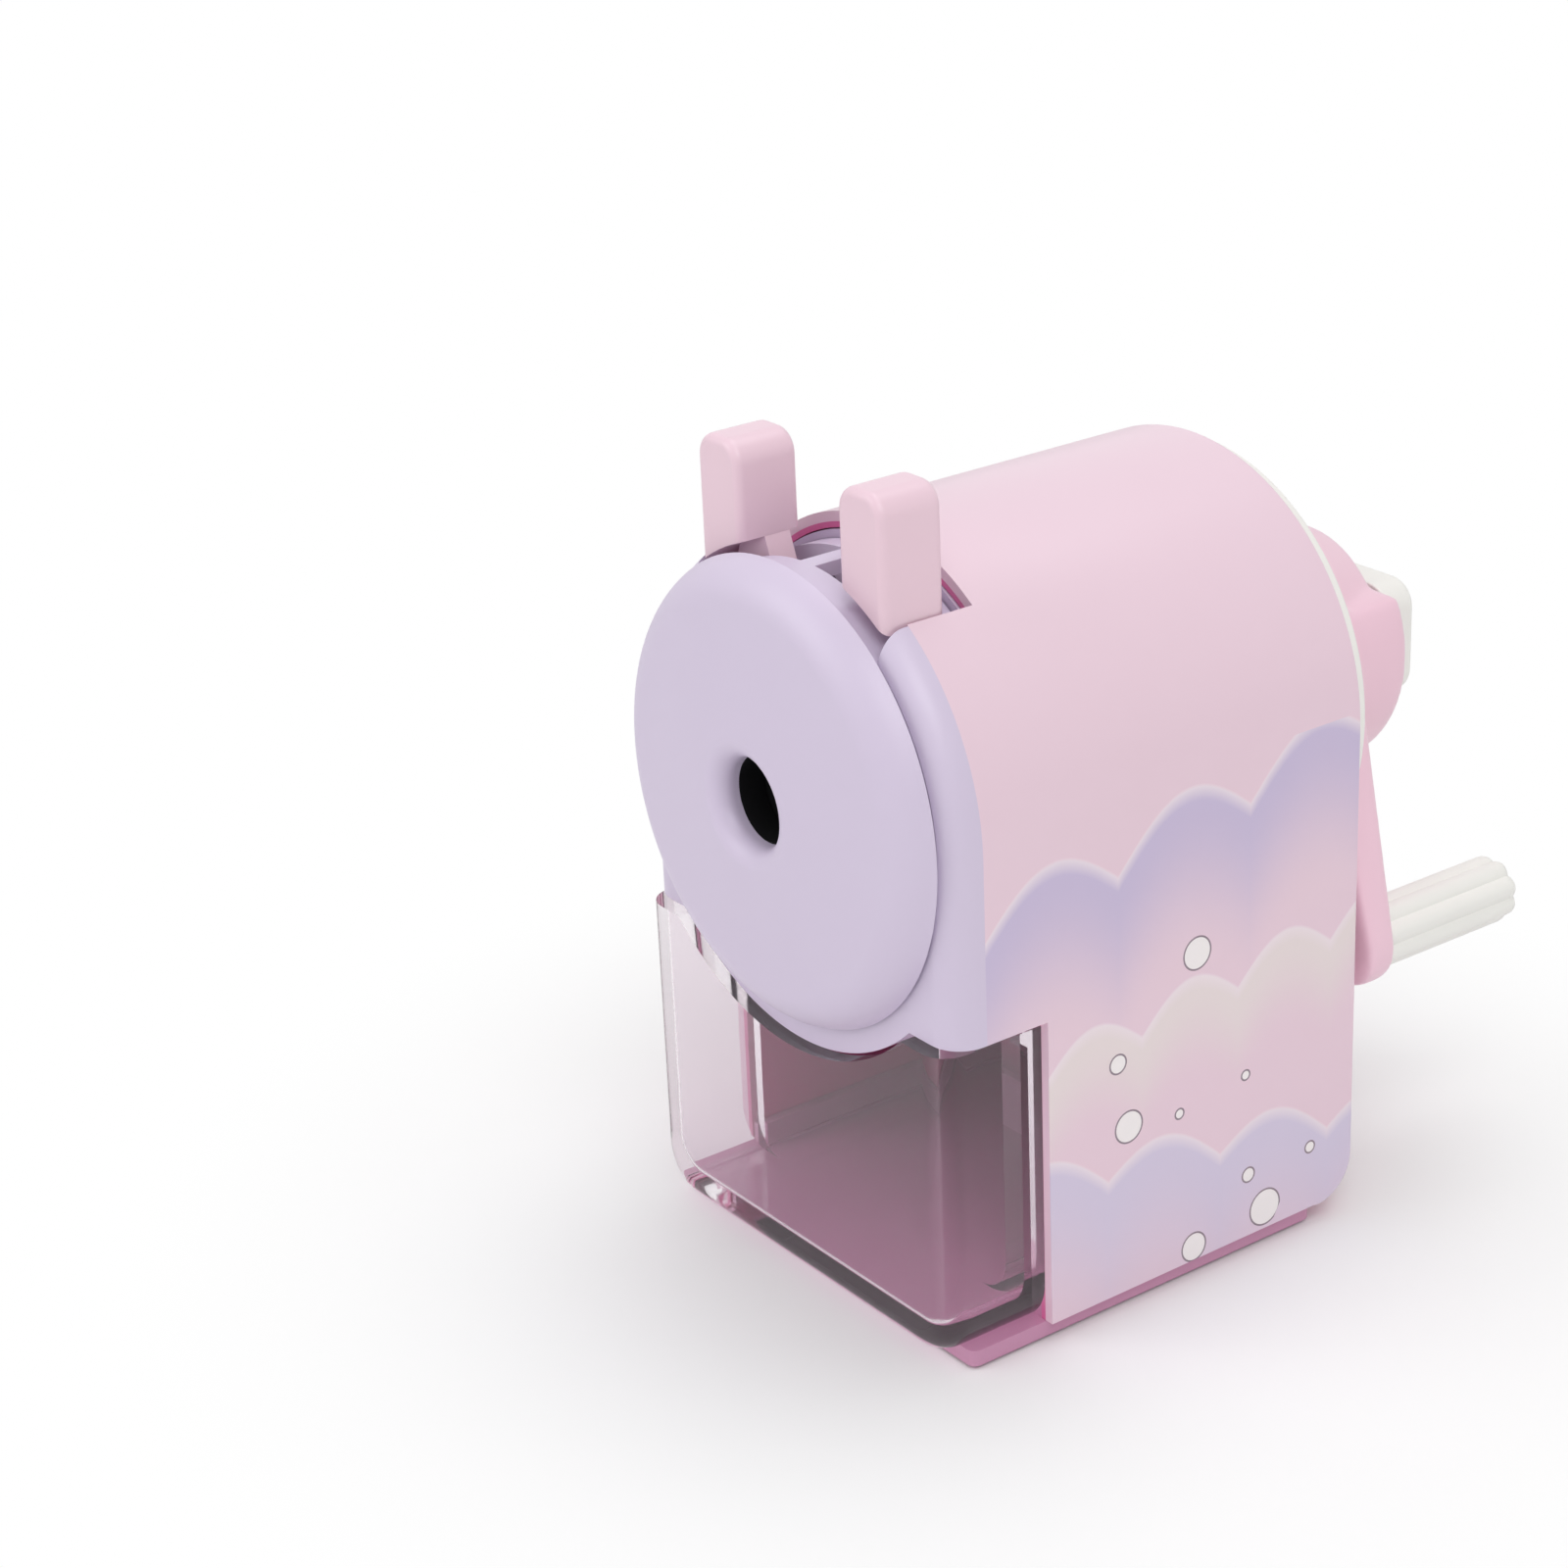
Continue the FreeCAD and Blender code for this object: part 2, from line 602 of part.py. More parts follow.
def biarc(start, start_way, end, end_way):
    """Two arcs that leave a point one way and reach another point another way."""
    chord = end - start
    ways = start_way + end_way
    a = 2 * (1 - start_way.dot(end_way))
    b = 2 * chord.dot(ways)
    reach = (-b + math.sqrt(b * b + 4 * a * chord.dot(chord))) / (2 * a)
    joint = (start + end + (start_way - end_way) * reach) * 0.5
    knee_one = start + start_way * reach
    knee_two = end - end_way * reach
    return [arc_at(start, knee_one, joint), arc_at(joint, knee_two, end)]


def arc_at(start, knee, end):
    """Arc from start to end whose tangents meet at the knee."""
    half_chord = (end - start).Length / 2
    middle = (start + end) * 0.5
    rise = knee - middle
    leg = (knee - start).Length
    sagitta = half_chord * rise.Length / (leg + half_chord)
    return Part.Arc(start, middle + rise.normalize() * sagitta, end).toShape()


def coil(radius, wire, turns, length):
    """Helical spring along Z from zero to its length, one unbroken square-edged wire."""
    steps = turns * 4
    rise = (length - wire) / steps
    slope = Vec(0, 0, rise / (math.pi / 2))

    def at(step):
        angle = step * math.pi / 2
        return Vec(radius * math.cos(angle), radius * math.sin(angle), wire / 2 + rise * step)

    def way(step):
        angle = step * math.pi / 2
        return (Vec(-radius * math.sin(angle), radius * math.cos(angle), 0) + slope).normalize()

    edges = []
    for step in range(steps):
        edges += biarc(at(step), way(step), at(step + 1), way(step + 1))
    path = Part.Wire(edges)
    half = wire / 2
    corners = [Vec(radius + half, 0, 0), Vec(radius, 0, half), Vec(radius - half, 0, 0), Vec(radius, 0, -half)]
    section = Part.makePolygon([corner + Vec(0, 0, wire / 2) for corner in corners + corners[:1]])
    print("spring gap between turns", round(rise * 4 - wire, 3))
    return Part.Wire(path).makePipeShell([section], True, False)


# Toothed outlines


def tooth_outline(teeth, pitch, add, ded, thick, phase):
    """Corners of a toothed circle; thick is the tooth at the pitch circle, phase the first tooth's angle."""
    slope = math.tan(math.radians(TOOTH_FLANK))
    corners = []
    for i in range(teeth):
        middle = phase + 2 * math.pi * i / teeth
        tip_half = (thick / 2 - add * slope) / (pitch + add)
        root_half = (thick / 2 + ded * slope) / (pitch - ded)
        for radius, offset in ((pitch - ded, -root_half), (pitch + add, -tip_half),
                               (pitch + add, tip_half), (pitch - ded, root_half)):
            corners.append(Vec(radius * math.cos(middle + offset), radius * math.sin(middle + offset), 0))
    return corners


def closed(corners, level=0.0, scale=1.0, twist=0.0):
    """Closed wire of corners, scaled and twisted about the origin and raised to a level."""
    turn = FreeCAD.Rotation(Z_AXIS, twist)
    moved = [turn.multVec(corner * scale) + Vec(0, 0, level) for corner in corners]
    return Part.makePolygon(moved + moved[:1])


def gear_cones(tilt):
    """Half angles of the pinion's and the ring's pitch cones, and the length of their shared edge."""
    ratio = value("ring_teeth") / value("pinion_teeth")
    pinion = math.atan2(math.sin(tilt), ratio - math.cos(tilt))
    ring = pinion + tilt
    return pinion, ring, value("ring_pitch") / math.sin(ring)


def apex_place(tilt):
    """Y where the axle meets the pencil axis if the pinion just clears the carrier's front plate."""
    pinion, ring, edge = gear_cones(tilt)
    middle = edge * math.cos(pinion)
    front = middle + value("gear_face") / 2
    module = 2 * value("ring_pitch") / value("ring_teeth")
    tip = (edge * math.sin(pinion) + value("tooth_tip") * module) * front / middle
    plate = value("bulkhead_rear + carrier_gap + carrier_front")
    return plate + value("pinion_gap") + front * math.cos(tilt) + tip * math.sin(tilt)


def blade_height(tilt):
    """Height of the lowest blade over the pencil axis at the cutter's rear end, for a tilt of the axle."""
    apex = apex_place(tilt)
    end = value("carrier_inner - carrier_play")
    return (apex - end) * math.tan(tilt) - value("cutter_radius") / math.cos(tilt)


def cutter_tilt():
    """Tilt of the cutter's axle at which the blades just pass the pencil axis at their rear end."""
    low, high = LEAST_TILT, MOST_TILT
    while high - low > TILT_STEP:
        middle = (low + high) / 2
        if blade_height(middle) > -value("point_reach"):
            low = middle
        else:
            high = middle
    return low


TILT = cutter_tilt()
PINION_CONE, RING_CONE, CONE_EDGE = gear_cones(TILT)
APEX_Y = apex_place(TILT)
RING_MID = APEX_Y - CONE_EDGE * math.cos(RING_CONE)
MODULE = 2 * value("ring_pitch") / value("ring_teeth")


def cutter_frame():
    """Frame whose origin is where the cutter axle meets the pencil axis, with Z forward along the axle."""
    turn = FreeCAD.Rotation(X_AXIS, 90 - math.degrees(TILT))
    return FreeCAD.Placement(Vec(0, APEX_Y, value("axis_height")), turn)


def along_axle(y):
    """Distance along the cutter axle from the apex to a Y level."""
    return (APEX_Y - y) / math.cos(TILT)


PINION_MID = CONE_EDGE * math.cos(PINION_CONE)
PINION_FRONT = PINION_MID + value("gear_face") / 2
PINION_REAR = PINION_MID - value("gear_face") / 2
CUTTER_FRONT = PINION_REAR - value("cutter_gap")
CUTTER_REAR_Y = value("carrier_inner - carrier_play")
CUTTER_REAR = (APEX_Y + value("cutter_radius") * math.sin(TILT) - CUTTER_REAR_Y) / math.cos(TILT)
CARRIER_FRONT = value("bulkhead_rear + carrier_gap")
CARRIER_FRONT_REAR = CARRIER_FRONT + value("carrier_front")
CARRIER_REAR = value("carrier_inner")
CARRIER_BACK = value("carrier_back")
CARRIER_HUB_REAR = value("housing_wall_front - seat_gap")


# Casing


def outer_shell():
    """Pink tunnel with a rear wall, a lever notch and side windows, open below."""
    outside = arch("shell_outside", "half_width", "shell_lift", ("shell_front", "shell_rear"))
    rear = value("shell_rear")
    foot = value("shell_lift")
    round_body(outside, "shell_corner", lambda e: flat_in(e, "y", rear) and flat_in(e, "z", foot))
    round_body(outside, "shell_edge", lambda e: flat_in(e, "y", rear) and e.BoundBox.ZMax > foot + OVERCUT)
    tunnel = arch("shell_tunnel", "wall_inner", "-shell_lift",
                  (before("shell_front"), "base_depth / 2 + seat_gap"))
    hollow = arch("shell_hollow", "wall_inner", "shell_lift + shell_wall", ("shell_front", "rear_wall"))
    deck = value("shell_lift + shell_wall")
    inner_rear = value("rear_wall")
    round_body(hollow, "shell_corner - shell_wall",
               lambda e: flat_in(e, "y", inner_rear) and flat_in(e, "z", deck))
    front = before("shell_front")
    window = block("shell_windows", ("-shell_width", "shell_width"), (front, "shell_front + window_depth"),
                   ("-shell_lift", "window_top"))
    notch = block("shell_notch", ("-notch_half", "notch_half"), (front, "bulkhead_front + notch_set"),
                  ("axis_height", "axis_height + shell_width"))
    hole = drill("shell_shaft_hole", "boss_outer + seat_gap", ("rear_wall", "shell_rear"))
    return node("outer_shell", cut("shell", outside, tunnel, hollow, window, notch, hole))


def base_plate():
    """Plate under shell and drawer with a lip that locates the shell and a recess for the anti-slip pad."""
    y = ("-base_depth / 2", "base_depth / 2")
    plate = block("base_slab", ("-base_half", "base_half"), y, ("pad_proud", "base_top"))
    slab = rounded("base_slab_round", plate, "base_round", lambda e: runs_along(e, Z_AXIS))
    lip_out = "wall_inner - seat_gap"
    lip_in = "wall_inner - lip_wall"
    lip_top = "base_top + lip_height"
    lip_y = ("shell_front + window_depth + seat_gap", "base_depth / 2")
    right = block("base_lip_right", (lip_in, lip_out), lip_y, ("base_top", lip_top))
    left = block("base_lip_left", (f"-({lip_out})", f"-({lip_in})"), lip_y, ("base_top", lip_top))
    rear = block("base_lip_rear", (f"-({lip_out})", lip_out), ("base_depth / 2 - lip_wall", "base_depth / 2"),
                 ("base_top", "base_top + lip_rear_height"))
    whole = fuse("base_whole", slab, right, left, rear)
    return node("base_plate", cut("base", whole, pad_sheet("base_recess")))


def pad_sheet(name):
    """Sheet with round corners from the table into the base plate."""
    x = "base_half - pad_margin"
    y = "base_depth / 2 - pad_margin"
    sheet = block(name + "_block", (f"-({x})", x), (f"-({y})", y), ("0", "pad_proud + pad_sunk"))
    return rounded(name, sheet, "pad_corner", lambda e: runs_along(e, Z_AXIS))


def anti_slip_pad():
    """Rubber sheet that the sharpener stands on, sunk into the base plate."""
    return node("anti_slip_pad", pad_sheet("slip_sheet"))


def front_frame():
    """Lavender frame: bezel in front of the shell, pocket for the carriage, bulkhead with guide bosses."""
    bezel = arch("frame_bezel", "bezel_half", "window_top", ("frame_front", "shell_front"))
    front = value("frame_front")
    low = value("window_top")
    round_body(bezel, "bezel_round", lambda e: flat_in(e, "y", front) and e.BoundBox.ZMax > low + OVERCUT)
    skirt = arch("frame_skirt", "wall_inner - seat_gap", "window_top", ("shell_front", "bulkhead_rear"))
    round_collar = bar("frame_collar", "collar_radius", ("frame_front", "bulkhead_rear"))
    limits = block("frame_collar_limits", ("-wall_inner + seat_gap", "wall_inner - seat_gap"),
                   (before("frame_front"), after("bulkhead_rear")),
                   (before("axis_height - collar_radius"), "axis_height"))
    collar = common("frame_collar_low", round_collar, limits)
    bosses = [bar(f"frame_boss_{side}", "rod_boss", (before("bulkhead_rear"), "rod_boss_rear"),
                  f"{sign} * rod_out", "rod_height") for side, sign in SIDES]
    whole = fuse("frame_whole", bezel, skirt, collar, *bosses)
    pocket = bar("frame_pocket", "pocket_radius", (before("frame_front"), "bulkhead_front"))
    notch = block("frame_notch", ("-notch_half - seat_gap", "notch_half + seat_gap"),
                  (before("frame_front"), "bulkhead_front"), ("axis_height", "axis_height + shell_width"))
    way = drill("frame_way", "pass_radius", ("bulkhead_front", "bulkhead_rear"))
    bores = [drill(f"frame_bore_{side}", "rod_radius + pin_gap", ("bulkhead_front", "rod_boss_rear"),
                   f"{sign} * rod_out", "rod_height") for side, sign in SIDES]
    holes = [drill(f"frame_screw_hole_{i}", "screw_radius", ("bulkhead_front", "bulkhead_rear"), x, z)
             for i, (x, z) in enumerate(ear_places())]
    return node("front_frame", cut("frame", whole, pocket, notch, way, *bores, *holes))


def ear_places():
    """Centres of the housing's four screw ears."""
    reach = "(housing_radius + screw_head + seat_gap)"
    x = f"{reach} * cos(ear_angle)"
    z = f"{reach} * sin(ear_angle)"
    return [(f"{a} * {x}", f"axis_height + {b} * {z}") for a in (-1, 1) for b in (-1, 1)]


def cutter_housing():
    """Barrel round the cutter, open below for the chips, with a boss for the shaft bush."""
    barrel = bar("housing_barrel", "housing_radius", ("bulkhead_rear", "housing_rear"))
    boss = bar("housing_boss", "boss_outer", (before("housing_rear"), "collar_rear"))
    ears = [bar(f"housing_ear_{i}", "ear_radius", ("bulkhead_rear", "bulkhead_rear + ear_thick"), x, z)
            for i, (x, z) in enumerate(ear_places())]
    whole = fuse("housing_whole", barrel, boss, *ears)
    inside = bar("housing_inside", "housing_inner", (before("bulkhead_rear"), "housing_wall_front"))
    chips = block("housing_chips", ("-chip_half", "chip_half"),
                  ("bulkhead_rear + chip_set", "housing_wall_front - chip_end"),
                  (before("axis_height - housing_radius"), "axis_height"))
    seat = drill("housing_bush_seat", "bush_radius", ("housing_wall_front", "collar_rear"))
    holes = [drill(f"housing_screw_hole_{i}", "screw_radius", ("bulkhead_rear", "bulkhead_rear + ear_thick"), x, z)
             for i, (x, z) in enumerate(ear_places())]
    return node("cutter_housing", cut("housing", whole, inside, chips, seat, *holes))


def screw(name, x, z, under_head, length):
    """Small pan screw along -Y whose head lies on a face at under_head."""
    shank = bar(name + "_shank", "screw_radius", (f"({under_head}) - ({length})", under_head), x, z)
    head = bar(name + "_head", "screw_head", (under_head, f"({under_head}) + screw_head_thick"), x, z)
    return fuse(name, shank, head)


def housing_screws():
    """Four screws from the housing's ears into the bulkhead."""
    screws = [screw(f"housing_screw_{i}", x, z, "bulkhead_rear + ear_thick", "ear_thick + bulkhead_wall")
              for i, (x, z) in enumerate(ear_places())]
    return node("housing_screws", group("housing_screw_set", *screws))


def rear_ring():
    """White ring between the shell's rear face and the crank flange."""
    disc = bar("rear_disc", "ring_radius", ("shell_rear", "collar_rear"))
    hole = drill("rear_disc_hole", "boss_outer + seat_gap", ("shell_rear", "collar_rear"))
    return node("rear_ring", cut("rear_ring_cut", disc, hole))


def shaft_bush():
    """Plain bearing of the crank shaft."""
    sleeve = bar("bush_sleeve", "bush_radius", ("housing_wall_front", "bush_rear"))
    bore = drill("bush_bore", "shaft_radius + pin_gap", ("housing_wall_front", "bush_rear"))
    return node("shaft_bush", cut("bush", sleeve, bore))


def ring_gear():
    """Fixed internal gear at the front of the housing, coned to the cutter's tilt."""
    face = value("gear_face")
    reach = CONE_EDGE * math.cos(RING_CONE)
    pitch = value("ring_pitch")
    gap = math.pi * pitch / value("ring_teeth") + value("gear_backlash") / 2
    corners = tooth_outline(count("ring_teeth"), pitch, value("tooth_root") * MODULE, value("tooth_tip") * MODULE,
                            gap, math.pi / 2)
    levels = (-face / 2 - OVERCUT, face / 2 + OVERCUT)
    wires = [closed(corners, level, (reach - level) / reach) for level in levels]
    space = Part.makeLoft(wires, True, True)
    rim = Part.makeCylinder(value("housing_inner"), face, Vec(0, 0, -face / 2))
    lay = FreeCAD.Placement(Vec(0, RING_MID, value("axis_height")), FreeCAD.Rotation(X_AXIS, -90))
    return node("ring_gear", shaped("ring_gear_shape", rim.cut(space), lay))


# Cutter


def cutter_pinion():
    """Pinion on the cutter's neck that rolls in the ring gear."""
    face = value("gear_face")
    teeth = count("pinion_teeth")
    pitch = CONE_EDGE * math.sin(PINION_CONE)
    thick = math.pi * pitch / teeth - value("gear_backlash") / 2
    corners = tooth_outline(teeth, pitch, value("tooth_tip") * MODULE, value("tooth_root") * MODULE, thick,
                            math.pi / 2)
    wires = [closed(corners, level, level / PINION_MID) for level in (PINION_REAR, PINION_FRONT)]
    gear = Part.makeLoft(wires, True, True)
    bore = Part.makeCylinder(value("axle_radius + pin_gap"), face + 2 * OVERCUT, Vec(0, 0, PINION_REAR - OVERCUT))
    return node("cutter_pinion", shaped("pinion_shape", gear.cut(bore), cutter_frame()))


def helical_cutter():
    """Milled cutter with helical blades and a plain neck that carries the pinion."""
    teeth = count("cutter_teeth")
    outer = value("cutter_radius")
    inner = outer - value("cutter_flute")
    pitch = 2 * math.pi / teeth
    crest, heel = CUTTER_CREST, CUTTER_CREST + CUTTER_LAND
    corners = []
    for i in range(teeth):
        start = i * pitch
        for radius, share in ((inner, 0.0), (outer, crest), (outer, heel)):
            angle = start + share * pitch
            corners.append(Vec(radius * math.cos(angle), radius * math.sin(angle), 0))
    wires = []
    for step in range(CUTTER_STEPS + 1):
        share = step / CUTTER_STEPS
        level = CUTTER_REAR + share * (CUTTER_FRONT - CUTTER_REAR)
        wires.append(closed(corners, level, 1.0, share * value("cutter_twist")))
    blades = Part.makeLoft(wires, True, True)
    root = CONE_EDGE * math.sin(PINION_CONE) - value("tooth_root") * MODULE
    neck_radius = (root - value("seat_gap")) * PINION_REAR / PINION_MID
    neck = Part.makeCylinder(neck_radius, PINION_REAR - CUTTER_FRONT, Vec(0, 0, CUTTER_FRONT))
    bore = Part.makeCylinder(value("axle_radius + pin_gap"), PINION_REAR - CUTTER_REAR + 2 * OVERCUT,
                             Vec(0, 0, CUTTER_REAR - OVERCUT))
    return node("helical_cutter", shaped("cutter_shape", blades.fuse(neck).cut(bore), cutter_frame()))


def axle_bar(name, radius):
    """Cylinder along the cutter axle through both plates of the carrier, level with their outer faces."""
    front = along_axle(CARRIER_FRONT - 2 * OVERCUT)
    rear = along_axle(CARRIER_BACK + 2 * OVERCUT)
    long_bar = Part.makeCylinder(radius, front - rear, Vec(0, 0, rear))
    long_bar.Placement = cutter_frame()
    span = CARRIER_BACK - CARRIER_FRONT
    width = 4 * value("carrier_radius")
    slab = Part.makeBox(width, span, width, Vec(-width / 2, CARRIER_FRONT, value("axis_height") - width / 2))
    return shaped(name, long_bar.common(slab))


def cutter_axle():
    """Steel axle of the cutter, held by both plates of the carrier."""
    return node("cutter_axle", axle_bar("axle_shape", value("axle_radius")))


def cutter_carrier():
    """Cage that carries the cutter round the pencil: two plates, a web opposite the cutter and a hub."""
    front = bar("carrier_front_plate", "carrier_radius", (CARRIER_FRONT, CARRIER_FRONT_REAR))
    rear = bar("carrier_rear_plate", "carrier_radius", (CARRIER_REAR, CARRIER_BACK))
    hub = bar("carrier_hub_bar", "carrier_hub", (CARRIER_BACK, CARRIER_HUB_REAR))
    shell = cut("carrier_shell", bar("carrier_shell_out", "carrier_radius", (CARRIER_FRONT, CARRIER_BACK)),
                drill("carrier_shell_in", "carrier_radius - carrier_wall", (CARRIER_FRONT, CARRIER_BACK)))
    lower = block("carrier_lower", ("-carrier_radius", "carrier_radius"),
                  (CARRIER_FRONT - OVERCUT, CARRIER_BACK + OVERCUT),
                  (before("axis_height - carrier_radius"), "axis_height - carrier_hub / 2"))
    web = common("carrier_web", shell, lower)
    whole = fuse("carrier_whole", front, rear, hub, web)
    way = drill("carrier_way", "pass_radius", (CARRIER_FRONT, CARRIER_FRONT_REAR))
    shaft = bar("carrier_shaft_hole", "shaft_radius", (CARRIER_REAR + OVERCUT, CARRIER_HUB_REAR + OVERCUT))
    stop = bar("carrier_stop_hole", "stop_radius + pin_gap", (CARRIER_REAR - OVERCUT, CARRIER_REAR + 2 * OVERCUT))
    axle = axle_bar("carrier_axle_hole", value("axle_radius"))
    return node("cutter_carrier", cut("carrier", whole, way, shaft, stop, axle))


# Crank


def crank_shaft():
    """Hollow shaft from the carrier to the crank boss."""
    solid = bar("shaft_bar", "shaft_radius", (CARRIER_REAR + OVERCUT, "nut_rear"))
    bore = bar("shaft_bore", "stop_radius + pin_gap", (CARRIER_REAR, after("nut_rear")))
    return node("crank_shaft", cut("shaft", solid, bore))


def arm_slab():
    """Tapering arm with round ends along X, from the crank axis to the handle axis."""
    hub = value("arm_hub")
    end = value("arm_end")
    reach = value("arm_radius")
    lean = math.asin((hub - end) / reach)
    rise = Vec(math.sin(lean), math.cos(lean), 0)
    fall = Vec(rise.x, -rise.y, 0)
    centre = Vec(reach, 0, 0)
    edges = [
        Part.LineSegment(rise * hub, centre + rise * end).toShape(),
        Part.Arc(centre + rise * end, centre + X_AXIS * end, centre + fall * end).toShape(),
        Part.LineSegment(centre + fall * end, fall * hub).toShape(),
        Part.Arc(fall * hub, X_AXIS * -hub, rise * hub).toShape(),
    ]
    thin = value("arm_thick")
    thick = thin + value("arm_swell")
    slab = Part.Face(Part.Wire(edges)).extrude(Z_AXIS * 2 * thick)
    seat = reach - end
    back = 2 * hub
    spare = Part.Face(Part.makePolygon([
        Vec(-back, -back, thin + value("arm_swell") * (seat + back) / seat),
        Vec(seat, -back, thin),
        Vec(reach + back, -back, thin),
        Vec(reach + back, -back, 3 * thick),
        Vec(-back, -back, 3 * thick),
        Vec(-back, -back, thin + value("arm_swell") * (seat + back) / seat),
    ])).extrude(Y_AXIS * 2 * back)
    arm = slab.cut(spare)
    rim = [edge for edge in arm.Edges
           if min(vertex.Z for vertex in edge.Vertexes) > thin - OVERCUT and not runs_along(edge, Y_AXIS)]
    return arm.makeFillet(value("arm_round"), rim)


def crank_cheek():
    """Broad lower part of the crank boss, level above, where the arm begins."""
    cone = taper("cheek_cone", ("cheek_root", "cheek_radius"), ("flange_front", "boss_rear"))
    limits = block("cheek_limits", ("-arm_hub - flange_radius", "arm_hub + flange_radius"),
                   (before("flange_front"), after("boss_rear")),
                   ("axis_height - 2 * arm_hub", "axis_height + cheek_rise"))
    end = value("boss_rear")
    return rounded("crank_cheek", common("cheek", cone, limits), "cheek_round", lambda e: flat_in(e, "y", end))


def crank_frame(y):
    """Frame on the crank axis at a Y level, X towards the handle, Z to the rear."""
    lay = FreeCAD.Rotation(X_AXIS, -90)
    swing = FreeCAD.Rotation(Y_AXIS, value("arm_angle"))
    return FreeCAD.Placement(Vec(0, y, value("axis_height")), swing.multiply(lay))


def crank_arm():
    """Moulded crank: round flange, tapering boss with a broad lower part, and arm."""
    flange = turned("crank_turned", [
        ("0", "flange_front"),
        ("flange_radius", "flange_front"),
        ("flange_radius", "flange_rear"),
        ("boss_root", "flange_rear"),
        ("boss_radius", "boss_rear"),
        ("0", "boss_rear"),
    ])
    rim = value("flange_radius")
    rear = value("flange_rear")
    end = value("boss_rear")
    round_body(flange, "flange_round", lambda e: flat_in(e, "y", rear) and near(e.BoundBox.XMax, rim))
    round_body(flange, "arm_round", lambda e: flat_in(e, "y", end))
    arm = shaped("crank_arm_slab", arm_slab(), crank_frame(value("arm_front")))
    whole = fuse("crank_whole", flange, crank_cheek(), arm)
    shaft = bar("crank_shaft_hole", "shaft_radius", (before("flange_front"), "nut_rear"))
    recess = bar("crank_recess", "nut_radius + slide_gap", ("nut_front", after("boss_rear")))
    pin = drill("crank_pin_hole", "grip_pin", ("arm_front", "arm_rear"), "handle_x", "handle_z")
    return node("crank_arm", cut("crank", whole, shaft, recess, pin))


def crank_nut():
    """Nut that clamps the crank on its shaft."""
    sides = 6
    corners = [Vec(value("nut_radius") * math.cos(2 * math.pi * i / sides),
                   value("nut_radius") * math.sin(2 * math.pi * i / sides), 0) for i in range(sides)]
    body = Part.Face(closed(corners)).extrude(Z_AXIS * value("nut_thick"))
    bore = Part.makeCylinder(value("shaft_radius"), value("nut_thick"))
    return node("crank_nut", shaped("nut_shape", body.cut(bore), crank_frame(value("nut_front"))))


def adjuster_knob():
    """White oblong knob behind the crank boss, with a stem over the stop rod."""
    half = "knob_half"
    low, high = "axis_height - knob_rise", "axis_height + knob_rise"
    cap = prism("knob_cap", [(f"-{half}", low), (half, low), (half, high), (f"-{half}", high)],
                ("knob_front", "knob_rear"))
    round_body(cap, "knob_corner", lambda e: runs_along(e, Y_AXIS))
    back = value("knob_rear")
    round_body(cap, "knob_round", lambda e: flat_in(e, "y", back))
    stem = bar("knob_stem_bar", "knob_stem", ("knob_stem_front", after("knob_front")))
    whole = fuse("knob_whole", cap, stem)
    bore = bar("knob_bore", "stop_radius + pin_gap", (before("knob_stem_front"), "knob_front + stop_travel"))
    return node("point_adjuster_knob", cut("knob", whole, bore))


def stop_rod():
    """Rod that the pencil's point meets, through the hollow shaft into the knob."""
    point = CARRIER_REAR - value("stop_lead")
    return node("stop_rod", bar("stop_bar", "stop_radius", (point, "knob_front - seat_gap")))


def handle_pin():
    """Steel pin of the handle, pressed into the arm."""
    return node("handle_pin", bar("handle_pin_bar", "grip_pin", ("arm_front", "grip_rear - grip_end - grip_gap"),
                                  "handle_x", "handle_z"))


def handle_grip():
    """Ribbed handle that spins on its pin."""
    ribs = count("grip_ribs")
    crest = value("grip_radius")
    valley = crest - value("grip_groove")
    step = 2 * math.pi / ribs

    def at(radius, angle):
        return Vec(radius * math.cos(angle), radius * math.sin(angle), 0)

    edges = []
    for i in range(ribs):
        start = i * step
        edges.append(Part.Arc(at(valley, start), at(crest, start + step / 2), at(valley, start + step)).toShape())
    grip = Part.Face(Part.Wire(edges)).extrude(Z_AXIS * value("grip_length"))
    bore = Part.makeCylinder(value("grip_pin + pin_gap"), value("grip_length - grip_end"))
    lay = FreeCAD.Placement(Vec(value("handle_x"), value("grip_front"), value("handle_z")),
                            FreeCAD.Rotation(X_AXIS, -90))
    return node("handle_grip", shaped("grip_shape", grip.cut(bore), lay))


# Feed carriage


def domed(name, radius, rear, skin):
    """Bar round the pencil axis, from the face disc's dome or a skin behind it to a rear end."""
    ball = doc.addObject("Part::Sphere", name + "_ball")
    bind(ball, Radius=f"dome_radius - {skin}")
    place(ball, 0, "disc_apex + dome_radius", "axis_height")
    return common(name, bar(name + "_bar", radius, ("disc_apex", rear)), ball)


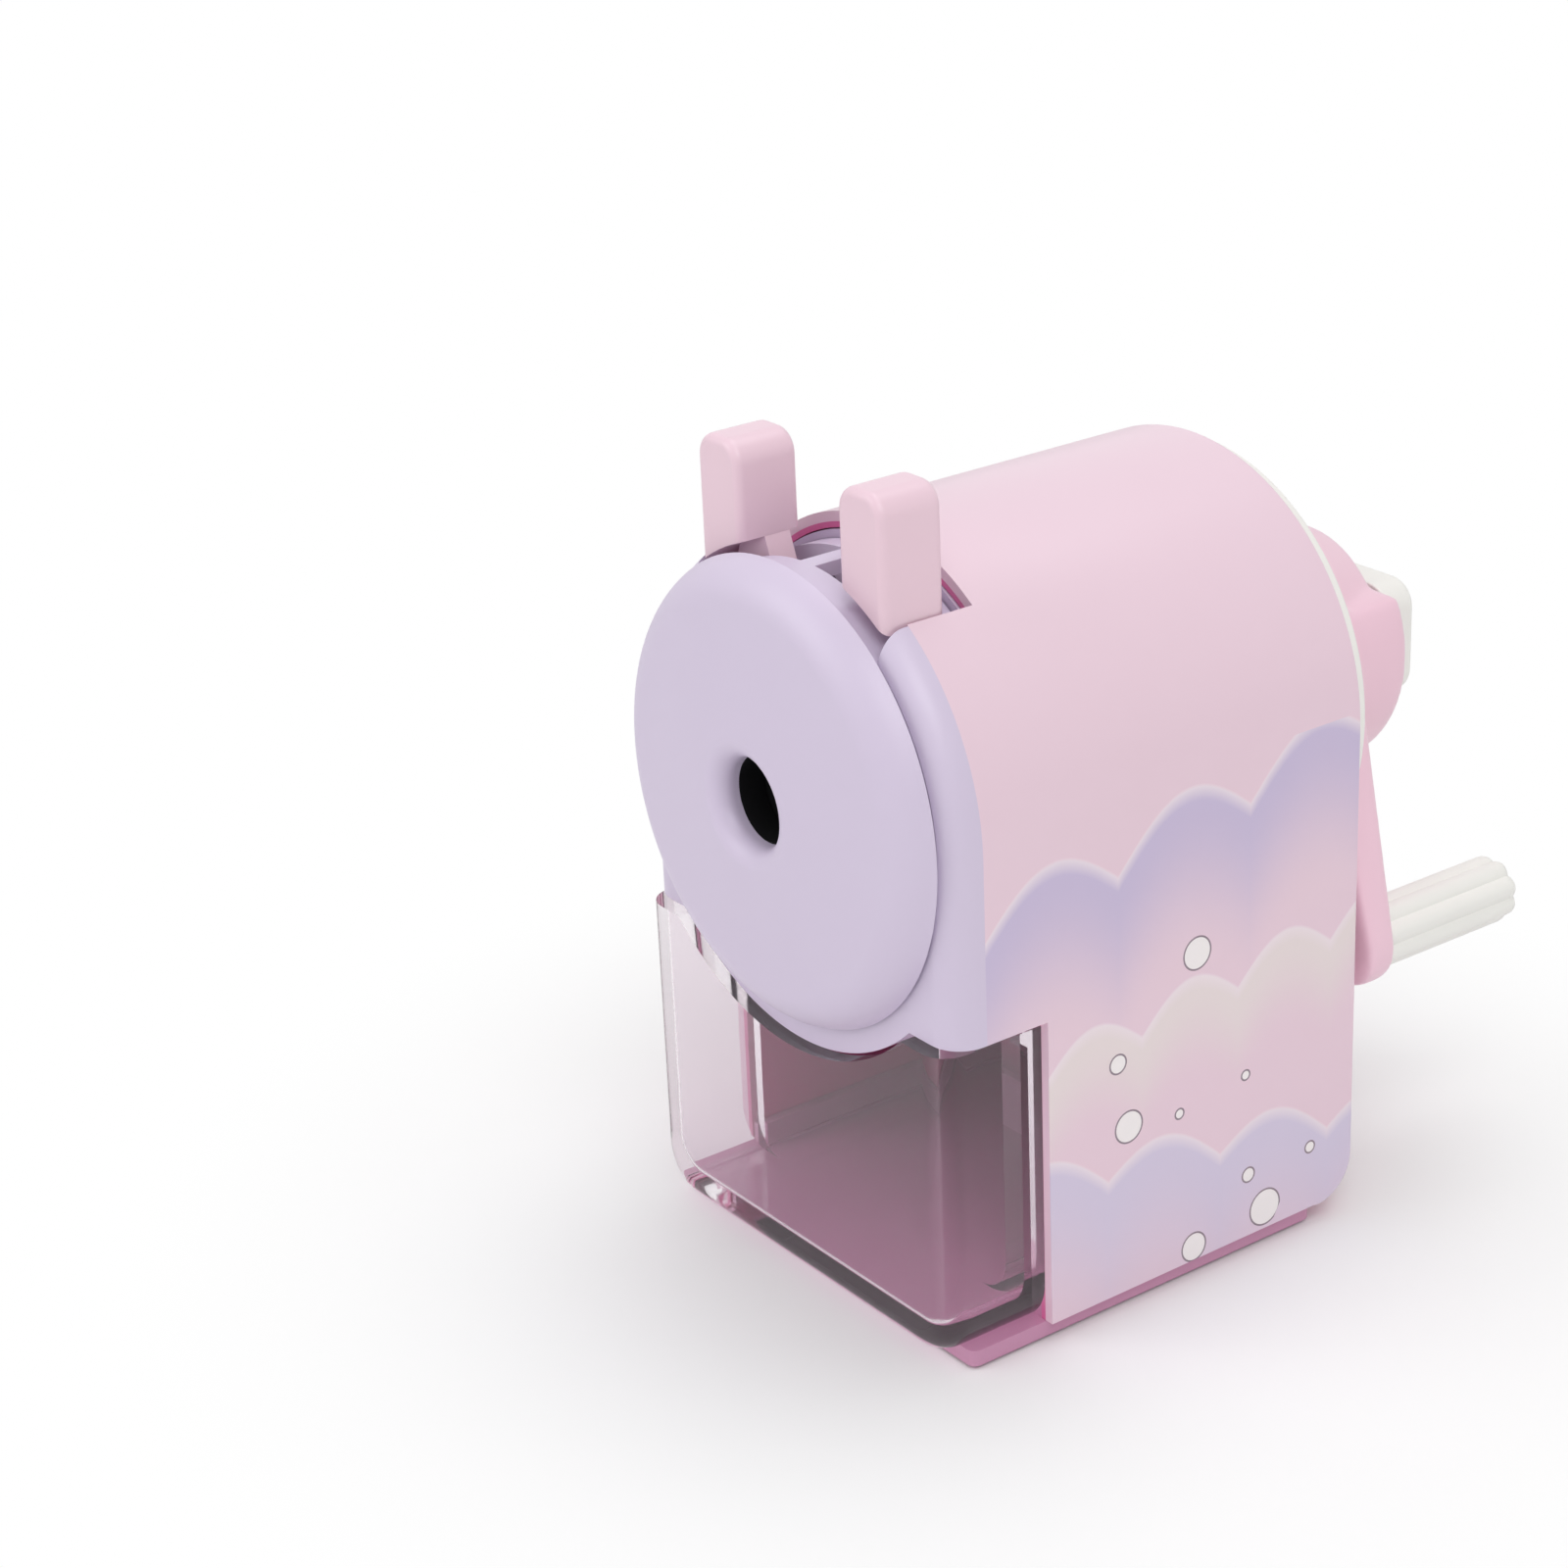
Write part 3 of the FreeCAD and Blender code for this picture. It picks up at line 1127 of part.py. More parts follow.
def face_disc():
    """Lavender drum: domed round face with the pencil hole, rim with slots for the levers."""
    edge = value("disc_front")
    face = rounded("disc_face", domed("disc_dome_bar", "disc_radius", "disc_back", "0"), "disc_round",
                   lambda e: flat_in(e, "y", edge))
    rim = bar("disc_rim", "drum_radius", (before("disc_back"), "plate_front"))
    whole = fuse("disc_whole", face, rim)
    hollow = domed("disc_hollow", "drum_radius - drum_wall", after("plate_front"), "disc_skin")
    tube = bar("disc_tube", "hole_radius + hole_wall", (before("disc_apex + disc_skin"), "jaw_front - seat_gap"))
    shell = fuse("disc_shell", cut("disc_hollowed", whole, hollow), tube, *lever_pin_bosses())
    hole = drill("disc_hole", "hole_radius", ("disc_apex", "jaw_front"))
    flare = taper("disc_flare", ("hole_radius + hole_flare", "hole_radius"),
                  ("disc_apex", "disc_apex + hole_flare"))
    slots = [block(f"disc_slot_{side}", x, ("stem_front - bridge_gap", after("plate_front")),
                   ("axis_height + pivot_rise", "axis_height + shell_width")) for side, x in
             (("left", ("-notch_half", "-post_half")), ("right", ("post_half", "notch_half")))]
    pins = [bar(f"disc_pin_hole_{side}", "pin_radius", ("disc_back", "plate_front"),
                f"{sign} * pivot_out", "pivot_height") for side, sign in SIDES]
    return node("face_disc", cut("disc", shell, hole, flare, *slots, *pins))


def lever_pin_bosses():
    """Bosses behind the face that hold the front ends of the lever pins."""
    y = (before("disc_apex + disc_skin"), "stem_front - disc_gap")
    return [bar(f"disc_pin_boss_{side}", "pin_radius + drum_wall", y, f"{sign} * pivot_out", "pivot_height")
            for side, sign in SIDES]


def carriage_plate():
    """Rear plate of the carriage that carries the guide rods and the lever pins."""
    plate = bar("plate_bar", "drum_radius", ("plate_front", "plate_rear"))
    way = drill("plate_way", "pass_radius", ("plate_front", "plate_rear"))
    y = ("plate_front", "plate_rear")
    rods = [drill(f"plate_rod_hole_{side}", "rod_radius", y, f"{sign} * rod_out", "rod_height")
            for side, sign in SIDES]
    pins = [drill(f"plate_pin_hole_{side}", "pin_radius", y, f"{sign} * pivot_out", "pivot_height")
            for side, sign in SIDES]
    return node("carriage_plate", cut("plate", plate, way, *rods, *pins))


def lever_pivot_pins():
    """Steel pins of both levers, from the face disc to the carriage plate."""
    pins = [bar(f"lever_pin_{side}", "pin_radius", ("disc_back", "plate_rear"), f"{sign} * pivot_out",
                "pivot_height") for side, sign in SIDES]
    return node("lever_pivot_pins", group("lever_pins", *pins))


def guide_rod(side, sign):
    """Steel rod that guides the carriage in the bulkhead."""
    rod = bar(f"{side}_rod_bar", "rod_radius", ("plate_front", "rod_rear"), f"{sign} * rod_out", "rod_height")
    return node(f"{side}_guide_rod", rod)


def rod_clip(side, sign):
    """Clip that the feed spring pushes on."""
    disc = bar(f"{side}_clip_disc", "clip_radius", ("clip_front", "clip_rear"), f"{sign} * rod_out", "rod_height")
    hole = drill(f"{side}_clip_hole", "rod_radius", ("clip_front", "clip_rear"), f"{sign} * rod_out",
                 "rod_height")
    return node(f"{side}_rod_clip", cut(f"{side}_clip", disc, hole))


def feed_spring(side, sign):
    """Spring round a guide rod that draws the carriage in."""
    length = value("clip_front - rod_boss_rear")
    shape = coil(value("spring_radius"), value("spring_wire"), count("spring_turns"), length)
    lay = FreeCAD.Placement(Vec(sign * value("rod_out"), value("rod_boss_rear"), value("rod_height")),
                            FreeCAD.Rotation(X_AXIS, -90))
    return node(f"{side}_feed_spring", shaped(f"{side}_feed_spring_shape", shape, lay))


def lever_pad():
    """Thumb pad of the right lever, hollow below and cut to the face disc's round."""
    pad = block("pad_block", ("lever_in", "lever_out"), ("lever_front", "lever_back"), ("axis_height", "lever_top"))
    top = value("lever_top")
    ends = (value("lever_front"), value("lever_back"))
    foot = value("axis_height")
    crown = rounded("pad_crown", pad, "lever_crown", lambda e: flat_in(e, "z", top) and runs_along(e, Y_AXIS))
    soft = rounded("pad_soft", crown, "lever_round",
                   lambda e: any(flat_in(e, "y", end) for end in ends) and not flat_in(e, "z", foot))
    seat = drill("pad_seat", "lever_seat", ("lever_front", "lever_back"))
    hollow = block("pad_hollow", (before("lever_in"), "lever_out - lever_skin"),
                   ("lever_front + lever_skin", "stem_front"),
                   ("axis_height", "axis_height + lever_seat + lever_skin"))
    return cut("pad", soft, seat, hollow)


def lever_sector(name, phase):
    """Toothed sector round the right lever's pivot that meets the other lever's at the middle plane."""
    teeth = count("sector_teeth")
    pitch = value("pivot_out")
    step = 2 * math.pi / teeth
    module = 2 * pitch / teeth
    thick = math.pi * pitch / teeth - value("gear_backlash")
    corners = tooth_outline(teeth, pitch, value("tooth_tip") * module, value("tooth_root") * module, thick,
                            math.pi + phase * step)
    gear = Part.Face(closed(corners)).extrude(Z_AXIS * value("stem_thick"))
    reach = 2 * pitch
    spread = SECTOR_SPREAD * step
    wedge = Part.Face(Part.makePolygon([
        Vec(),
        Vec(-reach, reach * math.tan(spread), 0),
        Vec(-reach, -reach * math.tan(spread), 0),
        Vec(),
    ])).extrude(Z_AXIS * value("stem_thick"))
    lay = FreeCAD.Placement(Vec(pitch, value("stem_back"), value("pivot_height")), FreeCAD.Rotation(X_AXIS, 90))
    return shaped(name, gear.common(wedge), lay)


def lever_stem():
    """Plate of the right lever from the pad past the pivot to the jaw."""
    return prism("stem", [
        ("lever_in + lever_width / 2", "axis_height + lever_seat"),
        ("lever_out - lever_skin", "axis_height + lever_seat - lever_width"),
        ("pivot_out + pivot_boss", "pivot_height"),
        ("jaw_out + lever_skin", "axis_height - jaw_half"),
        ("pass_radius / 2", "axis_height - jaw_half"),
        ("pass_radius / 2", "axis_height + jaw_half"),
        ("pivot_out - pivot_boss", "pivot_height"),
        ("lever_in", "axis_height + lever_seat - lever_skin"),
    ], ("stem_front", "stem_back"))


def lever(side, phase):
    """Lever with its pad, stem, pivot boss and toothed sector."""
    pad = lever_pad()
    boss = bar(f"{side}_lever_boss", "pivot_boss", ("stem_front", "stem_back"), "pivot_out", "pivot_height")
    whole = fuse(f"{side}_lever_whole", pad, lever_stem(), boss, lever_sector(f"{side}_sector", phase))
    hole = drill(f"{side}_lever_hole", "pin_radius + pin_gap", ("stem_front", "stem_back"), "pivot_out",
                 "pivot_height")
    way = drill(f"{side}_lever_way", "pass_radius", ("stem_front", "stem_back"))
    right = cut(f"{side}_lever_cut", whole, hole, way)
    if side == "right":
        return node("right_lever", right)
    return node("left_lever", mirrored("left_lever_twin", right))


def jaw(side, sign):
    """Black jaw on the front of a lever's stem, with a round groove for the pencil."""
    x = ("jaw_gap", "jaw_out")
    body = block(f"{side}_jaw_block", x, ("jaw_front", "stem_front"),
                 ("axis_height - jaw_half", "axis_height + jaw_half"))
    groove = bar(f"{side}_jaw_groove", "jaw_bore", (before("jaw_front"), after("stem_front")))
    right = cut(f"{side}_jaw_cut", body, groove)
    if sign > 0:
        return node("right_jaw", right)
    return node("left_jaw", mirrored("left_jaw_twin", right))


def lever_spring():
    """Spring that pushes the lever pads apart and so closes the jaws."""
    wire = value("lever_spring_wire")
    climb = value("lever_spring_rise - lever_spring_radius - lever_spring_wire - pivot_rise")
    share = climb / value("lever_seat - lever_skin - pivot_rise")
    half = value("pivot_out - pivot_boss - seat_gap") + share * value("pivot_boss + pivot_inset")
    shape = coil(value("lever_spring_radius"), wire, count("lever_spring_turns"), 2 * half)
    height = value("axis_height + lever_spring_rise")
    lay = FreeCAD.Placement(Vec(-half, value("stem_back - stem_thick / 2"), height),
                            FreeCAD.Rotation(Y_AXIS, 90))
    return node("lever_spring", shaped("lever_spring_shape", shape, lay))


# Drawer


def drawer():
    """Clear chip drawer: broad front in the side windows, narrower tray between the lips."""
    half, low, top = "drawer_half", "drawer_floor - drawer_drop", "drawer_top"
    front = prism("drawer_broad", [(f"-{half}", low), (half, low), (half, top), (f"-{half}", top)],
                  ("drawer_front", "drawer_step"))
    face = value("drawer_front")
    foot = value(low)
    round_body(front, "drawer_corner", lambda e: runs_along(e, Y_AXIS) and flat_in(e, "z", foot))
    round_body(front, "drawer_round", lambda e: flat_in(e, "y", face))
    back = "drawer_back_half"
    floor = "drawer_floor"
    high = "drawer_floor + drawer_low"
    rear = prism("drawer_narrow", [(f"-{back}", floor), (back, floor), (back, high), (f"-{back}", high)],
                 ("drawer_step - drawer_wall", "drawer_rear"))
    whole = fuse("drawer_whole", front, rear)
    inner, tray = f"{half} - drawer_wall", f"{back} - drawer_wall"
    deck = "drawer_floor + drawer_wall"
    roof = after("drawer_top")
    hollow = prism("drawer_hollow", [(f"-({inner})", deck), (inner, deck), (inner, roof), (f"-({inner})", roof)],
                   ("drawer_front + drawer_front_wall", "drawer_step - drawer_wall"))
    ground = value(deck)
    round_body(hollow, "drawer_corner - drawer_wall", lambda e: runs_along(e, Y_AXIS) and flat_in(e, "z", ground))
    trough = prism("drawer_trough", [(f"-({tray})", deck), (tray, deck), (tray, roof), (f"-({tray})", roof)],
                   (before("drawer_step - drawer_wall"), "drawer_rear - drawer_wall"))
    arc = drill("drawer_arc_cut", "drawer_arc", ("drawer_front", "drawer_rear"))
    under = block("drawer_under", ("-shell_width", "shell_width"),
                  ("drawer_front + drawer_front_wall", "drawer_rear"), ("-shell_lift", "drawer_floor"))
    return node("drawer", cut("drawer_cut", whole, hollow, trough, arc, under))


def build():
    """Make every sub-part."""
    outer_shell()
    base_plate()
    anti_slip_pad()
    front_frame()
    cutter_housing()
    housing_screws()
    rear_ring()
    shaft_bush()
    ring_gear()
    cutter_pinion()
    helical_cutter()
    cutter_axle()
    cutter_carrier()
    crank_shaft()
    crank_arm()
    crank_nut()
    adjuster_knob()
    stop_rod()
    handle_pin()
    handle_grip()
    face_disc()
    carriage_plate()
    lever_pivot_pins()
    for side, sign, phase in (("left", -1, 0.0), ("right", 1, 0.5)):
        guide_rod(side, sign)
        rod_clip(side, sign)
        feed_spring(side, sign)
        lever(side, phase)
        jaw(side, sign)
    lever_spring()
    drawer()


def check():
    """Stop if anything failed to build."""
    doc.recompute()
    for thing in doc.Objects:
        if "Invalid" in thing.State or "Error" in thing.State:
            raise RuntimeError(f"{thing.Name} failed: {thing.State}")
    for thing in nodes:
        if thing.Shape.isNull() or not thing.Shape.isValid():
            raise RuntimeError(f"{thing.Label} has no valid shape")


def export():
    """Write each sub-part to a file named after it."""
    os.makedirs("parts", exist_ok=True)
    for thing in nodes:
        thing.Shape.exportStep(f"parts/{thing.Label}.step")
        print(thing.Label, len(thing.Shape.Solids), round(thing.Shape.Volume, 1))


build()
check()
export()
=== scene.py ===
"""Crank pencil sharpener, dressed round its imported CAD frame.

Sizes are in millimetres in the part's own frame: +Z up, the pencil hole faces -Y, +X to the right of
someone who faces the pencil hole. Meshes are in metres, so a size passes through MM once, where a step
uses it.
"""
from __future__ import annotations

import json
import logging
import math
from dataclasses import dataclass
from enum import Enum
from typing import Callable, Sequence, Union

import bmesh
import bpy
from mathutils import Matrix, Vector

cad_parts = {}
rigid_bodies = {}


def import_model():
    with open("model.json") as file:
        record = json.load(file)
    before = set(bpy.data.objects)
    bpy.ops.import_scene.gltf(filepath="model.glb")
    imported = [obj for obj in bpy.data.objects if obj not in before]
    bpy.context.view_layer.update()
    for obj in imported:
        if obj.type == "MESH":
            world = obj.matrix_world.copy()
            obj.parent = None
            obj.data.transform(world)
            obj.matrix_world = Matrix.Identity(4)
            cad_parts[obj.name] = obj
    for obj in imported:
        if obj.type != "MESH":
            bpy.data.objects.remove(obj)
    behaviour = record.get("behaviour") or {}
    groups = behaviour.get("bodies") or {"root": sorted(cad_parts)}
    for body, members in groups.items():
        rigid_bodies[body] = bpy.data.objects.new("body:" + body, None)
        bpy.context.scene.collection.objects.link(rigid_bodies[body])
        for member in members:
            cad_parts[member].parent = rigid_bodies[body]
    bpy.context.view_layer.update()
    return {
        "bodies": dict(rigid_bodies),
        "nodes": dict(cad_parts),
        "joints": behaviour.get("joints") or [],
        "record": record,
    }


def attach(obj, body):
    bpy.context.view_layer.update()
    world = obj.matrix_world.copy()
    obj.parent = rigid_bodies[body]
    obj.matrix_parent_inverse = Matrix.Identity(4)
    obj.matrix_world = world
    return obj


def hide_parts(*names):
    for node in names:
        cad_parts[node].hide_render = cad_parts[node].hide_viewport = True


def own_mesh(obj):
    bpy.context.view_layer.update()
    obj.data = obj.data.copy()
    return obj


LOG = logging.getLogger("sharpener")
MM = 0.001
# Places nearer than this count as one, and corners nearer than the second value are merged.
NEAR = 0.01
MERGE = 0.001
# Height of the axis that pencil, cutter and crank share.
AXIS = 73.5
# X and Z of the guide rods, mirrored for the left one.
GUIDE = (25.0, 62.0)
ALONG_Y = (-math.pi / 2, 0.0, 0.0)
MIRRORED = (-1, 1)
# Sides of round pieces, from the case's arch down to the pins.
ROUND = 128
ROUND_BORE = 64
ROUND_BOSS = 48
ROUND_PIN = 32
# Sides of a spring's wire, and steps of one of its turns.
WIRE_SIDES = 12
TURN_STEPS = 32
# How far a joined piece reaches into the other, and a cutting one just past or well past what it cuts.
LAP = 1.0
PAST = 5.0
# Gap between parts that fit into each other.
PLAY = 0.2
# Angles in degrees up to which a plain and a lumpy surface shade as one.
SHARP = 35.0
LUMPY = 50.0
# Range of nearly all values of a noise, and octaves of a broad and of a fine one.
NOISE_SPAN = (0.3, 0.7)
BROAD = 2.0
FINE = 4.0
PURE_WHITE = "#FFFFFF"

Pair = tuple[float, float]
Triple = tuple[float, float, float]
Socket = bpy.types.NodeSocket
Input = Union[float, Triple, tuple[float, float, float, float], Socket]
Test = Callable[[Sequence[Vector]], bool]


class Element(Enum):
    """Kinds of mesh element that a modelling step selects."""

    VERT = "verts"
    EDGE = "edges"
    FACE = "faces"


class Body(Enum):
    """Bodies of the frame that pieces ride on."""

    CASE = "body"
    CRANK = "crank"
    HANDLE = "handle"
    ADJUSTER = "adjuster"
    CARRIAGE = "carriage"
    LEFT_LEVER = "left_lever"
    RIGHT_LEVER = "right_lever"
    DRAWER = "drawer"


def linear(code: str) -> tuple[float, float, float, float]:
    """Turn an sRGB hex colour to linear RGBA.

    Args:
        code: six hex digits after a hash.

    Returns:
        The colour in linear light, opaque.
    """
    channels = [int(code[i:i + 2], 16) / 255 for i in (1, 3, 5)]
    light = [c / 12.92 if c <= 0.04045 else ((c + 0.055) / 1.055) ** 2.4 for c in channels]
    return light[0], light[1], light[2], 1.0


def per_metre(size_mm: float) -> float:
    """Texture scale at which one feature is about as large as a size."""
    return 1 / (size_mm * MM)


def arc(centre: Pair, radius: float, start: float, end: float, steps: int = 6) -> list[Pair]:
    """Points of a rounding, for a profile of radius and Y.

    Args:
        centre: middle of the rounding.
        radius: its radius.
        start: angle of the first point in degrees, from the radius towards +Y.
        end: angle of the last point.
        steps: spans between the points.

    Returns:
        The points in order.
    """
    angles = [math.radians(start + (end - start) * i / steps) for i in range(steps + 1)]
    return [(centre[0] + radius * math.cos(a), centre[1] + radius * math.sin(a)) for a in angles]


def anywhere(at: Sequence[Vector]) -> bool:
    """Test that every element passes."""
    return True


def lies(at: Sequence[Vector], axis: str, place: float) -> bool:
    """Whether all corners lie at one place along an axis."""
    return all(abs(getattr(corner, axis) - place) < NEAR for corner in at)


def runs(at: Sequence[Vector], axis: str) -> bool:
    """Whether an edge runs along an axis."""
    return abs(getattr(at[0], axis) - getattr(at[1], axis)) > LAP


class Piece:
    """One mesh, modelled by hand-like steps: a primitive, edit-mode operators and applied modifiers."""

    def __init__(self, holder: bpy.types.Object) -> None:
        """Keep the object that holds the mesh."""
        self.holder = holder

    @classmethod
    def start(cls, name: str, add: Callable[..., object], **settings: object) -> Piece:
        """Add a primitive with its place in its mesh.

        Args:
            name: name of the object.
            add: the primitive's operator.
            settings: its sizes and its place.

        Returns:
            The new piece.
        """
        bpy.ops.object.select_all(action="DESELECT")
        add(**settings)
        holder = bpy.context.object
        holder.name = holder.data.name = name
        bpy.ops.object.transform_apply(location=True, rotation=True, scale=True)
        return cls(holder)

    @classmethod
    def block(cls, name: str, low: Triple, high: Triple) -> Piece:
        """Box between two corners."""
        middle = (Vector(low) + Vector(high)) / 2 * MM
        return cls.start(name, bpy.ops.mesh.primitive_cube_add, size=1.0, location=middle,
                         scale=(Vector(high) - Vector(low)) * MM)

    @classmethod
    def cone(cls, name: str, radii: Pair, y: Pair, centre: Pair = (0.0, AXIS), sides: int = ROUND) -> Piece:
        """Cone along Y, with its front and rear radius."""
        middle = Vector((centre[0], sum(y) / 2, centre[1])) * MM
        return cls.start(name, bpy.ops.mesh.primitive_cone_add, vertices=sides, radius1=radii[0] * MM,
                         radius2=radii[1] * MM, depth=(y[1] - y[0]) * MM, location=middle, rotation=ALONG_Y)

    @classmethod
    def rod(cls, name: str, radius: float, y: Pair, centre: Pair = (0.0, AXIS), sides: int = ROUND) -> Piece:
        """Cylinder along Y."""
        return cls.cone(name, (radius, radius), y, centre, sides)

    @classmethod
    def ring(cls, name: str, radius: float, y: float, centre: Pair, sides: int, fill: str) -> Piece:
        """Circle in a plane across Y."""
        place = Vector((centre[0], y, centre[1])) * MM
        return cls.start(name, bpy.ops.mesh.primitive_circle_add, vertices=sides, radius=radius * MM,
                         fill_type=fill, location=place, rotation=ALONG_Y)

    @classmethod
    def lathe(cls, name: str, profile: Sequence[Pair], sides: int = ROUND) -> Piece:
        """Round piece with a hole along the axis, drawn ring by ring.

        Args:
            name: name of the object.
            profile: radius and Y of each ring, of which the last meets the first.
            sides: corners of a ring.

        Returns:
            The new piece.
        """
        centre = (0.0, AXIS)
        made = cls.ring(name, *profile[0], centre, sides, "NOTHING")
        made.select(Element.EDGE).draw(profile, centre)
        for radius, y in (profile[0], profile[-1]):
            made.select(Element.EDGE, lambda at: lies(at, "y", y) and all(
                abs(math.hypot(v.x, v.z - AXIS) - radius) < NEAR for v in at), add=(radius, y) == profile[-1])
        return made.edit(bpy.ops.mesh.bridge_edge_loops).tidy()

    @classmethod
    def arch(cls, name: str, half: float, foot: float, y: Pair) -> Piece:
        """Tunnel outline, upright sides under a half circle about the axis, pulled along Y."""
        made = cls.ring(name, half, y[0], (0.0, AXIS), ROUND, "NGON")
        made.select(Element.FACE)
        made.edit(bpy.ops.mesh.bisect, plane_co=(0, 0, AXIS * MM), plane_no=(0, 0, 1), clear_inner=True)
        made.select(Element.EDGE, lambda at: lies(at, "z", AXIS)).pull((0.0, 0.0, foot - AXIS))
        return made.select(Element.FACE).pull((0.0, y[1] - y[0], 0.0)).tidy()

    @classmethod
    def coil(cls, name: str, radius: float, wire: float, turns: int, length: float) -> Piece:
        """Round wire wound along Y, from zero to a length."""
        made = cls.start(name, bpy.ops.mesh.primitive_circle_add, vertices=WIRE_SIDES, radius=wire / 2 * MM,
                         location=(radius * MM, wire / 2 * MM, 0))
        made.apply("SCREW", axis="Y", angle=2 * math.pi, screw_offset=(length - wire) / turns * MM,
                   iterations=turns, steps=TURN_STEPS, render_steps=TURN_STEPS)
        return made.cap().smooth(LUMPY)

    def activate(self, *others: Piece) -> None:
        """Select this piece, and others with it, and make it the active one."""
        bpy.ops.object.select_all(action="DESELECT")
        for piece in (*others, self):
            piece.holder.select_set(True)
        bpy.context.view_layer.objects.active = self.holder

    def edit(self, step: Callable[..., object], **settings: object) -> Piece:
        """Run one edit-mode operator on what is selected in this mesh."""
        self.activate()
        bpy.ops.object.mode_set(mode="EDIT")
        step(**settings)
        bpy.ops.object.mode_set(mode="OBJECT")
        return self

    def select(self, kind: Element, test: Test = anywhere, add: bool = False) -> Piece:
        """Select elements by their place.

        Args:
            kind: what is selected.
            test: says whether an element whose corners are given in millimetres is meant.
            add: whether what was selected stays so.

        Returns:
            This piece.
        """
        self.edit(bpy.ops.mesh.select_mode, type=kind.name)
        mesh = bmesh.new()
        mesh.from_mesh(self.holder.data)
        if not add:
            for element in [*mesh.verts, *mesh.edges, *mesh.faces]:
                element.select = False
        for element in getattr(mesh, kind.value):
            corners = [element] if kind is Element.VERT else element.verts
            if test([v.co / MM for v in corners]):
                element.select_set(True)
        mesh.to_mesh(self.holder.data)
        mesh.free()
        return self

    def pull(self, way: Triple) -> Piece:
        """Extrude what is selected."""
        return self.edit(bpy.ops.mesh.extrude_region_move,
                         TRANSFORM_OT_translate={"value": Vector(way) * MM})

    def widen(self, share: float, centre: Triple) -> Piece:
        """Scale what is selected about a point, across Y."""
        return self.edit(bpy.ops.transform.resize, value=(share, 1.0, share),
                         center_override=Vector(centre) * MM)

    def draw(self, profile: Sequence[Pair], centre: Pair) -> Piece:
        """Extrude the selected ring along a profile of radius and Y."""
        for (radius, y), (wide, back) in zip(profile, profile[1:]):
            self.pull((0.0, back - y, 0.0)).widen(wide / radius, (centre[0], back, centre[1]))
        return self

    def bevel(self, test: Test, width: float, segments: int = 6) -> Piece:
        """Round the edges that a test picks."""
        self.select(Element.EDGE, test)
        return self.edit(bpy.ops.mesh.bevel, offset=width * MM, segments=segments, clamp_overlap=True)

    def cap(self) -> Piece:
        """Close the open ends."""
        return self.select(Element.FACE).edit(bpy.ops.mesh.fill_holes, sides=0).tidy()

    def tidy(self) -> Piece:
        """Merge doubles and turn all faces outwards."""
        self.select(Element.FACE).edit(bpy.ops.mesh.remove_doubles, threshold=MERGE * MM)
        return self.select(Element.FACE).edit(bpy.ops.mesh.normals_make_consistent, inside=False)

    def apply(self, kind: str, **settings: object) -> Piece:
        """Add a modifier with its settings and apply it."""
        self.activate()
        modifier = self.holder.modifiers.new(kind.lower(), kind)
        for name, setting in settings.items():
            setattr(modifier, name, setting)
        bpy.ops.object.modifier_apply(modifier=modifier.name)
        return self

    def join(self, *others: Piece) -> Piece:
        """Add others to this piece."""
        return self.combine("UNION", others)

    def cut(self, *others: Piece) -> Piece:
        """Take others away from this piece."""
        return self.combine("DIFFERENCE", others)

    def trim(self, *others: Piece) -> Piece:
        """Keep what of this piece lies within others."""
        return self.combine("INTERSECT", others)

    def combine(self, how: str, others: Sequence[Piece]) -> Piece:
        """Change this piece by others, which are used up."""
        for other in others:
            self.apply("BOOLEAN", operation=how, solver="EXACT", object=other.holder)
            data = other.holder.data
            bpy.data.objects.remove(other.holder)
            bpy.data.meshes.remove(data)
        return self

    def gather(self, *others: Piece) -> Piece:
        """Take others' meshes into this one as they are, for a remesh that runs them together."""
        self.activate(*others)
        bpy.ops.object.join()
        return self

    def soften(self, width: float, segments: int = 3) -> Piece:
        """Round all sharp edges, and shade the flat faces flat."""
        self.apply("BEVEL", width=width * MM, segments=segments, limit_method="ANGLE",
                   angle_limit=math.radians(SHARP), use_clamp_overlap=True)
        return self.smooth()

    def smooth(self, angle: float = SHARP) -> Piece:
        """Shade the piece smooth up to an angle."""
        self.activate()
        bpy.ops.object.shade_smooth_by_angle(angle=math.radians(angle))
        return self.apply("WEIGHTED_NORMAL", keep_sharp=True)

    def shift(self, way: Triple) -> Piece:
        """Move the whole mesh."""
        return self.select(Element.VERT).edit(bpy.ops.transform.translate, value=Vector(way) * MM)

    def twin(self, name: str, way: Triple) -> Piece:
        """Copy of the piece with its own mesh, moved."""
        holder = self.holder.copy()
        holder.data = self.holder.data.copy()
        holder.name = holder.data.name = name
        bpy.context.scene.collection.objects.link(holder)
        return Piece(holder).shift(way)

    def dress(self, finish: Moulded, body: Body, slot: str, *replaced: str) -> Piece:
        """Give the piece its finish, its body and the CAD nodes that it stands for."""
        self.holder.data.materials.clear()
        self.holder.data.materials.append(finish.material())
        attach(self.holder, body.value)
        if replaced:
            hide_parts(*replaced)
        LOG.info("%s: %d faces, %s", self.holder.name, len(self.holder.data.polygons), finish.name)
        return self


